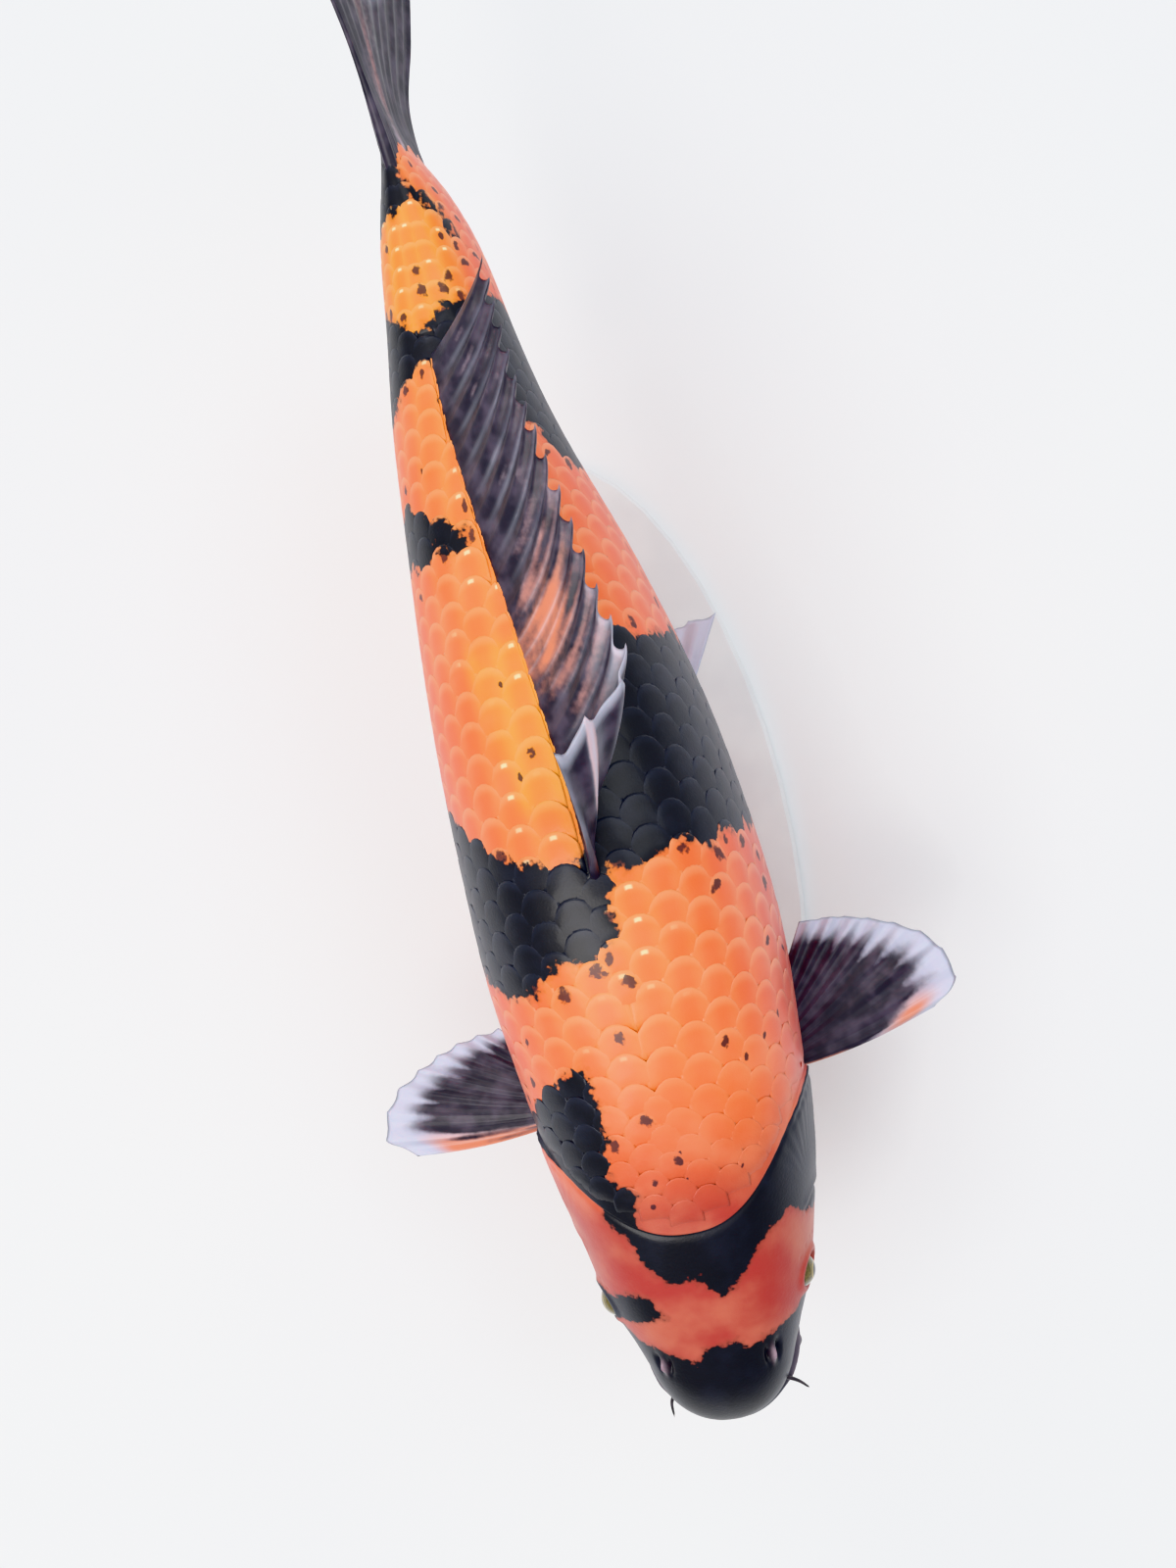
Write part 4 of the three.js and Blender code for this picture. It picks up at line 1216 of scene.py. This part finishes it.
# %% The dorsal fin: its front ray stands up, the rest lie over to the fish's left
DORSAL_STATIONS = (0.432, 0.836)
DORSAL_RAYS = 34
dorsal_back = curve((0, 48), (0.12, 42), (0.3, 40), (0.6, 40), (0.85, 34), (1, 27))
dorsal_left = curve((0, 5), (0.06, 19), (0.14, 37), (0.3, 36.5), (0.6, 36), (0.85, 33), (1, 30))
dorsal_up = curve((0, 40), (0.06, 36), (0.14, 27), (0.3, 22), (0.6, 19), (0.85, 15), (1, 13))


def dorsal_middle(u, reach):
    """Rays leave the ridge slantwise, arch over and turn back along the body at their ends."""
    root = DORSAL_STATIONS[0] + (DORSAL_STATIONS[1] - DORSAL_STATIONS[0]) * u
    station = root + dorsal_back(u) * MM / LENGTH * reach**1.2
    lateral = dorsal_left(u) * MM * (1 - (1 - reach) ** 1.35)
    up = dorsal_up(u) * reach + 4.5 * np.sin(math.pi * reach) - 2.5 * (1 - reach)
    return place(station, lateral, LENGTH * back_height(root) + up * MM)


def dorsal_colours(u, v, streak):
    """Each fold has a pale ray in front, then a brown, tan or slate panel, then a dark one. These are
    partly the fin's own stripes and partly painted light: a painted highlight on the pale ray and painted
    shade on the dark face of the pleat.
    """
    fold = u * DORSAL_RAYS % 2
    # Painted highlight along each fold's pale ray, and painted shade where the fold turns away, over the
    # fin's own stripes.
    pale_ray_and_highlight = bell(np.minimum(fold, 2 - fold), 0.22) * smooth_step(0.05, 0.3, v)
    panel = bell(fold - 0.62, 0.46) * smooth_step(0.06, 0.3, v)
    front = 1 - smooth_step(0.20, 0.34, u)
    tan = bell(u - 0.40, 0.13) * (1 - smooth_step(0.75, 1, v))
    dark = 0.80 + 0.12 * smooth_step(0.5, 0.7, u) - 0.10 * streak
    dark = dark - panel * (0.28 + 0.22 * tan) * (0.7 + 0.5 * streak) - 0.20 * pale_ray_and_highlight
    dark = dark - 0.36 * bell(u - 0.40, 0.07) * (1 - smooth_step(0.4, 0.7, v))
    dark = dark + 0.20 * (1 - smooth_step(0.1, 0.4, v)) * smooth_step(0.48, 0.56, u)
    first = 1 - smooth_step(0.048, 0.056, u)
    stripe = bell(u - 0.0625, 0.008) * smooth_step(0.30, 0.45, v)
    dark = dark + (0.95 - dark) * first - 0.9 * stripe + 0.2 * bell(u - 0.10, 0.03)
    warm = 0.35 + 0.30 * front + 0.75 * tan - 0.45 * first
    tips = 0.75 * smooth_step(0.86, 0.97, v) * (1 - smooth_step(0.16, 0.36, u))
    rim = 0.26 * pale_ray_and_highlight * (0.8 + 0.4 * streak) * (1 - 0.5 * tan)
    edge = 0.35 * bell(u, 0.008) * smooth_step(0.2, 0.5, v)
    mauve = 0.5 * panel * bell(u - 0.17, 0.10) * smooth_step(0.35, 0.85, v)
    rim = np.maximum(rim, mauve) * (1 - first)
    return dark, np.clip(warm, 0, 1), np.max([rim, edge, 0.8 * stripe, tips], axis=0)


fin_piece("fin_dorsal", ["dorsal_fin"], dorsal_middle, fin_thickness(0.6, 2.2, 1.0, 0.025),
          dorsal_colours, rays=DORSAL_RAYS, pleat=1.3, tooth=0.09, seed=11, columns=6)

# %% The anal fin
ANAL_STATIONS = (0.755, 0.835)
anal_tip_station = curve((0, 0.842), (0.3, 0.868), (1, 0.892))
anal_tip_height = curve((0, 92), (0.3, 88), (0.7, 70), (1, 54))


def anal_middle(u, reach):
    """Straight rays that lean back from the ridge of the belly."""
    root = ANAL_STATIONS[0] + (ANAL_STATIONS[1] - ANAL_STATIONS[0]) * u
    start = place(root, 0, 3 * MM - LENGTH * belly_depth(root))
    end = place(anal_tip_station(u), 2 * MM * np.sin(3 * u), -anal_tip_height(u) * MM)
    return root_to_tip(u, reach, start, end)


def anal_colours(u, v, streak):
    """Dark at the root and clear at the tip."""
    dark = 0.95 - 1.1 * v + 0.3 * streak
    return dark, 0.5 * (1 - v) * np.ones_like(u), smooth_step(0.85, 1, v)


fin_piece("fin_anal", ["anal_fin"], anal_middle, fin_thickness(0.6, 2.0), anal_colours, rays=8,
          pleat=0.7, tooth=0.04, seed=23)

# %% The pectoral fins, the right one held further forward and out
pectoral_back = curve((0, 8), (0.12, 17), (0.3, 33), (0.5, 43), (0.75, 50), (1, 52))
pectoral_out = curve((0, 106), (0.12, 117), (0.3, 112), (0.5, 98), (0.75, 80), (1, 62))
pectoral_drop = curve((0, 39), (0.5, 42), (1, 41))
PECTORAL_RAYS = 16


def pectoral_middle(side, forward, out):
    """The middle of one fin, held that far forward and out, in mm."""
    def middle(u, reach):
        start = place(0.246 + 0.024 * u, side * (42 - 6 * u) * MM, (-28 - 5 * u) * MM)
        station = 0.25 + (pectoral_back(u) - forward) * MM / LENGTH
        end = place(station, side * (pectoral_out(u) + out) * MM, -pectoral_drop(u) * MM)
        arch = np.sin(math.pi * reach) * (1.5 + 1.5 * u)
        arch_up = np.stack([0 * arch, 0 * arch, arch * MM], -1)
        bow = np.sin(math.pi * reach) * (1 - u) * 2.2
        bow_ahead = np.stack([0 * bow, -bow * MM, 0 * bow], -1)
        return root_to_tip(u, reach, start, end) + arch_up + bow_ahead

    return middle


def pointed_core(u, v, core, streak):
    """How dark a fin is whose dark core ends at that share of the way out, in points."""
    points = 0.06 * np.cos(2 * math.pi * u * PECTORAL_RAYS / 1.5) + 0.07 * streak
    return 0.5 + 3.0 * (core - v + points)


def left_pectoral_colours(u, v, streak):
    """A dark core, a clear rim and a salmon patch near the tip."""
    dark = pointed_core(u, v, 0.85 - 0.35 * bell(u, 0.07), streak)
    patch = bell(u - 0.07, 0.08) * bell(v - 0.76, 0.13)
    edge = bell(u, 0.03) * (1 - smooth_step(0.35, 0.5, v))
    warm = np.clip(patch + edge + 0.3 * (1 - v), 0, 1)
    return np.minimum(dark, 0.85) - 0.9 * patch - 0.6 * edge, warm, smooth_step(0.80, 0.95, v) * 0.8


def right_pectoral_colours(u, v, streak):
    """Like the left one, with dark streaks on a salmon front edge."""
    dark = pointed_core(u, v, 0.88 - 0.16 * bell(u, 0.2), streak)
    front = bell(u - 0.03, 0.10) * (1 - smooth_step(0.70, 0.88, v))
    dark = np.minimum(dark, 0.95) - front * (0.75 - 0.45 * streak)
    warm = np.clip(front * 1.1 + 0.15 * (1 - v), 0, 1)
    return dark, warm, smooth_step(0.80, 0.95, v) * (1 - 0.5 * front)


PECTORALS = {
    "left": (1, 0, 0, left_pectoral_colours),
    "right": (-1, 13, 3, right_pectoral_colours),
}
for hand, (side, forward, out, colours) in PECTORALS.items():
    middle = pectoral_middle(side, forward, out)
    fin_piece(f"fin_pectoral_{hand}", [f"pectoral_fin_{hand}"], middle, fin_thickness(0.55, 2.6, 0.9, 0.06),
              colours, rays=PECTORAL_RAYS, pleat=0.8, tooth=0.014, seed=31 + side)

# %% The pelvic fins
pelvic_back = curve((0, 62), (0.16, 63), (0.35, 62), (1, 50))
pelvic_out = curve((0, 60), (0.16, 51), (0.35, 43), (1, 19))
pelvic_thickness = fin_thickness(0.6, 2.4, 0.8, 0.08)


def pelvic_middle(side):
    """The middle of the fin on that side."""
    def middle(u, reach):
        start = place(0.478 + 0.022 * u, side * (20 - 7 * u) * MM, (-65 - 3 * u) * MM)
        end = place(0.48 + pelvic_back(u) * MM / LENGTH, side * pelvic_out(u) * MM, (-80 - 4 * u) * MM)
        return root_to_tip(u, reach, start, end)

    return middle


def pelvic_colours(u, v, streak):
    """Salmon at the root, then smoky, then clear."""
    dark = 0.55 - 0.75 * v + 0.35 * streak
    return dark, np.clip(0.8 - 1.2 * v, 0, 1), smooth_step(0.6, 0.95, v)


for hand, side in FLANKS.items():
    fin_piece(f"fin_pelvic_{hand}", [f"pelvic_fin_{hand}"], pelvic_middle(side), pelvic_thickness,
              pelvic_colours, rays=9, pleat=0.6, tooth=0.04, seed=41 + side)

# %% The tail fin, in one piece with its fleshy root
TAIL_RAYS = 20
TAIL_ROOT = 0.974
lobe_back = curve((0, 1.203), (0.14, 1.207), (0.4, 1.172), (0.7, 1.142), (1, 1.128))
lobe_out = curve((0, 76), (0.14, 69), (0.4, 44), (0.7, 20), (1, 1.5))
LOWER_CURL = math.tan(math.radians(3))


def tail_middle(u, reach):
    """Both lobes, from the top edge to the fork and on to the bottom edge."""
    inwards = 1 - np.abs(1 - 2 * u)
    upper = np.sign(np.round(0.5 - u, 6))
    root_height = 31.5 * (1 - inwards) ** 0.9
    height = upper * (root_height + (lobe_out(inwards) - root_height) * reach**1.08)
    station = TAIL_ROOT + (lobe_back(inwards) - TAIL_ROOT) * reach
    curl = LOWER_CURL * np.minimum(height, 0) * (station - 1) / 0.12
    wave = 1.6 * np.sin(5 * u + 1) * np.sin(math.pi * reach * 0.9) * reach
    return place(station, (curl + wave) * MM, height * MM)


def tail_thickness(u, v):
    """Thick flesh where it leaves the tail stalk, thin web further out."""
    round_root = np.sqrt(np.clip(1 - (2 * u - 1) ** 2, 0, 1))
    flesh = 8 * (1 - smooth_step(0.06, 0.40, v)) * round_root
    edge_ray = 1.0 * bell(np.minimum(u, 1 - u) * TAIL_RAYS, 0.6) * (1 - 0.7 * v)
    return 0.6 + 1.2 * (1 - v) ** 2 + flesh + edge_ray


def tail_colours(u, v, streak):
    """Dark grey-brown, with a pink-brown streak along the middle and a lilac root patch."""
    middle_streak = bell(u - 0.36, 0.10) * smooth_step(0.1, 0.35, v)
    root_patch = bell(u - 0.30, 0.13) * bell(v - 0.13, 0.10)
    dark = 0.80 - 0.30 * middle_streak - 0.40 * root_patch + 0.14 * streak
    warm = np.clip(0.3 + 0.4 * middle_streak, 0, 1)
    return dark, warm, 0.25 * smooth_step(0.92, 1, v)


fin_piece("fin_tail", ["tail_fin_upper_lobe", "tail_fin_lower_lobe"], tail_middle, tail_thickness,
          tail_colours, rays=TAIL_RAYS, pleat=0.7, tooth=0.018, seed=53, rows=56)

# %% [markdown]
# ## Eyes and barbels
#
# A carp's eye is a small ball set low on the side of the head, with no lid. Under the
# clear cornea lie a brassy iris, flecked and darker at its edge, and a round black pupil.
# One glossy sphere holds it all: its colours follow the angle away from the eye's own
# axis, which looks outwards and a little forward. The four barbels are soft feelers, two
# short ones on the upper lip and two longer ones at the corners of the mouth, each a
# tube that tapers along its path and flares where it joins the lip.

# %% The eyeballs
EYE_STATION = 0.112
PUPIL = 24
IRIS = 64
BRASS = paint(112, 100, 56)
BRASS_DARK = paint(62, 54, 32)
EYE_RIM = paint(30, 26, 24)
PUPIL_RING = paint(204, 178, 98)
PUPIL_BLACK = paint(6, 6, 8)
CORNEA_RISE = 0.02

eye_finish = Finish("koi_eye", roughness=0.16, coat=1.0, coat_roughness=0.03)
off_axis = eye_finish.read("off_axis")
fleck = eye_finish.ramp(eye_finish.noise(0.8 * MM, 3), 0.35, 0.7)
iris = eye_finish.mix(eye_finish.times(fleck, 0.6), BRASS, BRASS_DARK)
ring = eye_finish.times(eye_finish.ramp(off_axis, PUPIL + 6, PUPIL + 1), 0.8)
iris = eye_finish.mix(ring, iris, PUPIL_RING)
iris = eye_finish.mix(eye_finish.ramp(off_axis, IRIS - 10, IRIS), iris, EYE_RIM)
in_pupil = eye_finish.ramp(off_axis, PUPIL + 1, PUPIL - 1)
eye_finish.set("Base Color", eye_finish.mix(in_pupil, iris, PUPIL_BLACK))

for hand, side in FLANKS.items():
    bm = bmesh.new()
    bmesh.ops.create_uvsphere(bm, u_segments=48, v_segments=32, radius=EYE_RADIUS, calc_uvs=False)
    centre = Vector(place(EYE_STATION, side * EYE_LATERAL, EYE_SPOT[1] * MM))
    beside = Vector(place(EYE_STATION, side * 2 * EYE_LATERAL, EYE_SPOT[1] * MM))
    gaze = (beside - centre).normalized() + Vector((0, -0.16, 0.10))
    turn = gaze.to_track_quat("Z", "Y").to_matrix()
    eye_mesh = as_mesh(bm, f"eyeball_{hand}")
    ball = read_points(eye_mesh)
    away = np.degrees(np.arctan2(np.hypot(ball[:, 0], ball[:, 1]), ball[:, 2]))
    write(eye_mesh, "off_axis", away)
    # The cornea bulges a little over the iris.
    ball = ball * (1 + CORNEA_RISE * bell(away, 32))[:, None]
    write_points(eye_mesh, ball @ np.array(turn).T + np.array(centre))
    add_piece(f"eyeball_{hand}", eye_mesh, eye_finish.material, [f"eye_{hand}"])

# %% The barbels
# Each is a path of (station, mm to the side, mm above the axis), from root to tip.
BARBELS = {
    "snout_left": [(0.031, 17, -5.0), (0.028, 21, -6.8), (0.022, 25.5, -9.8), (0.0135, 28.5, -14)],
    "snout_right": [(0.031, 17, -5.0), (0.026, 20, -6.8), (0.014, 24, -9.8), (0.001, 25, -13)],
    "mouth_left": [
        (0.052, 26.5, -17.5), (0.047, 28, -21), (0.041, 27, -26), (0.036, 25, -33), (0.033, 22, -40)],
    "mouth_right": [
        (0.052, 26, -17.5), (0.047, 27.5, -21), (0.041, 27, -26), (0.036, 25.5, -33), (0.032, 23, -40)],
}
ROOT_FLARE = {"snout": 1.0, "mouth": 1.2}
SWAY = 3.0
BARBEL_DARK = paint(30, 26, 32)
BARBEL_BROWN = paint(66, 56, 66)
BARBEL_ROOT = paint(110, 96, 112)

barbel_finish = Finish("koi_barbel", roughness=0.4, coat=0.3, coat_roughness=0.2, depth=0.05)
tint = barbel_finish.ramp(barbel_finish.noise(3 * MM, 2), 0.4, 0.8)
root_share = barbel_finish.times(barbel_finish.read("root"), 0.6)
barbel_colour = barbel_finish.mix(tint, BARBEL_DARK, BARBEL_BROWN)
barbel_finish.set("Base Color", barbel_finish.mix(root_share, barbel_colour, BARBEL_ROOT))


def barbel_track(path, side):
    """The middle line of a barbel, from root to tip."""
    share = np.linspace(0, 1, len(path))
    station, lateral, height = (curve(*zip(share, column)) for column in zip(*path))

    def track(run):
        at = place(station(run), side * lateral(run) * MM, height(run) * MM)
        at[..., 0] += SWAY * MM * run
        return at

    return track


def barbel_mesh(name, track, flare):
    """A tube that tapers along its track, closed at both ends."""
    mesh = sheet_of_quads(name, 16, 44)
    grid = read_points(mesh)
    turn, run = 2 * math.pi * grid[:, 0], grid[:, 1]
    ahead = track(np.minimum(run + 0.01, 1)) - track(np.maximum(run - 0.01, 0))
    ahead = ahead / np.linalg.norm(ahead, axis=1, keepdims=True)
    beside = np.cross(ahead, [0, 0, 1.0])
    beside = beside / np.linalg.norm(beside, axis=1, keepdims=True)
    above = np.cross(beside, ahead)
    radius = 0.34 + 0.8 * (1 - run) ** 0.8 + flare * bell(run - 0.12, 0.20)
    radius = radius * np.sqrt(1 - smooth_step(0.93, 1, run)) * (run > 0)
    round_it = np.cos(turn)[:, None] * beside + np.sin(turn)[:, None] * above
    write_points(mesh, track(run) + round_it * radius[:, None] * MM)
    write(mesh, "root", 1 - smooth_step(0.05, 0.35, run))
    close_and_turn_out(mesh)
    return mesh


for word, path in BARBELS.items():
    lip, hand = word.split("_")
    mesh = barbel_mesh(f"feeler_{word}", barbel_track(path, FLANKS[hand]), ROOT_FLARE[lip])
    add_piece(f"feeler_{word}", mesh, barbel_finish.material, [f"{lip}_barbel_{hand}"])

# %% [markdown]
# ## The stand and the floor
#
# The stand is the plain sort a museum turns and paints itself: a flat oval base in satin
# paint and two short rods of brushed steel. Its solids are already the true shapes, so
# they only get their finishes. The paint has a faint orange-peel texture from the spray
# gun, and the steel has fine lines from the abrasive that run round the rods. The floor
# is plain and pale, with a very slight mottle.

# %% Finishes for the stand and the floor
SATIN_GREYS = paint(222, 223, 224), paint(214, 215, 217)
STEEL_GREYS = paint(186, 188, 192), paint(206, 208, 211)
FLOOR_GREYS = paint(229, 230, 231), paint(226, 227, 229)
LINES_PER_GRAIN = 60

satin_paint = Finish("satin_paint", roughness=0.42, coat=0.1, coat_roughness=0.3)
mottle = satin_paint.ramp(satin_paint.noise(30 * MM, 2), 0.3, 0.7)
satin_paint.set("Base Color", satin_paint.mix(mottle, *SATIN_GREYS))
satin_paint.bump(satin_paint.noise(0.9 * MM, 1), 0.02 * MM)

brushed_steel = Finish("brushed_steel", roughness=0.30, metal=1.0)
lines = brushed_steel.tree.nodes.new("ShaderNodeMapping")
lines.inputs["Scale"].default_value = (1, 1, LINES_PER_GRAIN)
brushed_steel.tree.links.new(brushed_steel.place, lines.inputs["Vector"])
brushing = brushed_steel.noise(20 * MM, 2, lines.outputs["Vector"])
steel_tone = brushed_steel.ramp(brushing, 0.35, 0.65)
brushed_steel.set("Base Color", brushed_steel.mix(steel_tone, *STEEL_GREYS))
brushed_steel.bump(brushing, 0.01 * MM)

plain_floor = Finish("plain_floor", roughness=0.7)
floor_tone = plain_floor.ramp(plain_floor.noise(0.35, 2), 0.3, 0.7)
plain_floor.set("Base Color", plain_floor.mix(floor_tone, *FLOOR_GREYS))
floor.data.materials.append(plain_floor.material)

STAND_FINISHES = {
    "stand_base": satin_paint,
    "stand_rod_front": brushed_steel,
    "stand_rod_rear": brushed_steel,
}
for node, finish in STAND_FINISHES.items():
    mesh = bpy.data.objects[node].data
    mesh.materials.clear()
    mesh.materials.append(finish.material)
print("stand nodes finished:", len(STAND_FINISHES))
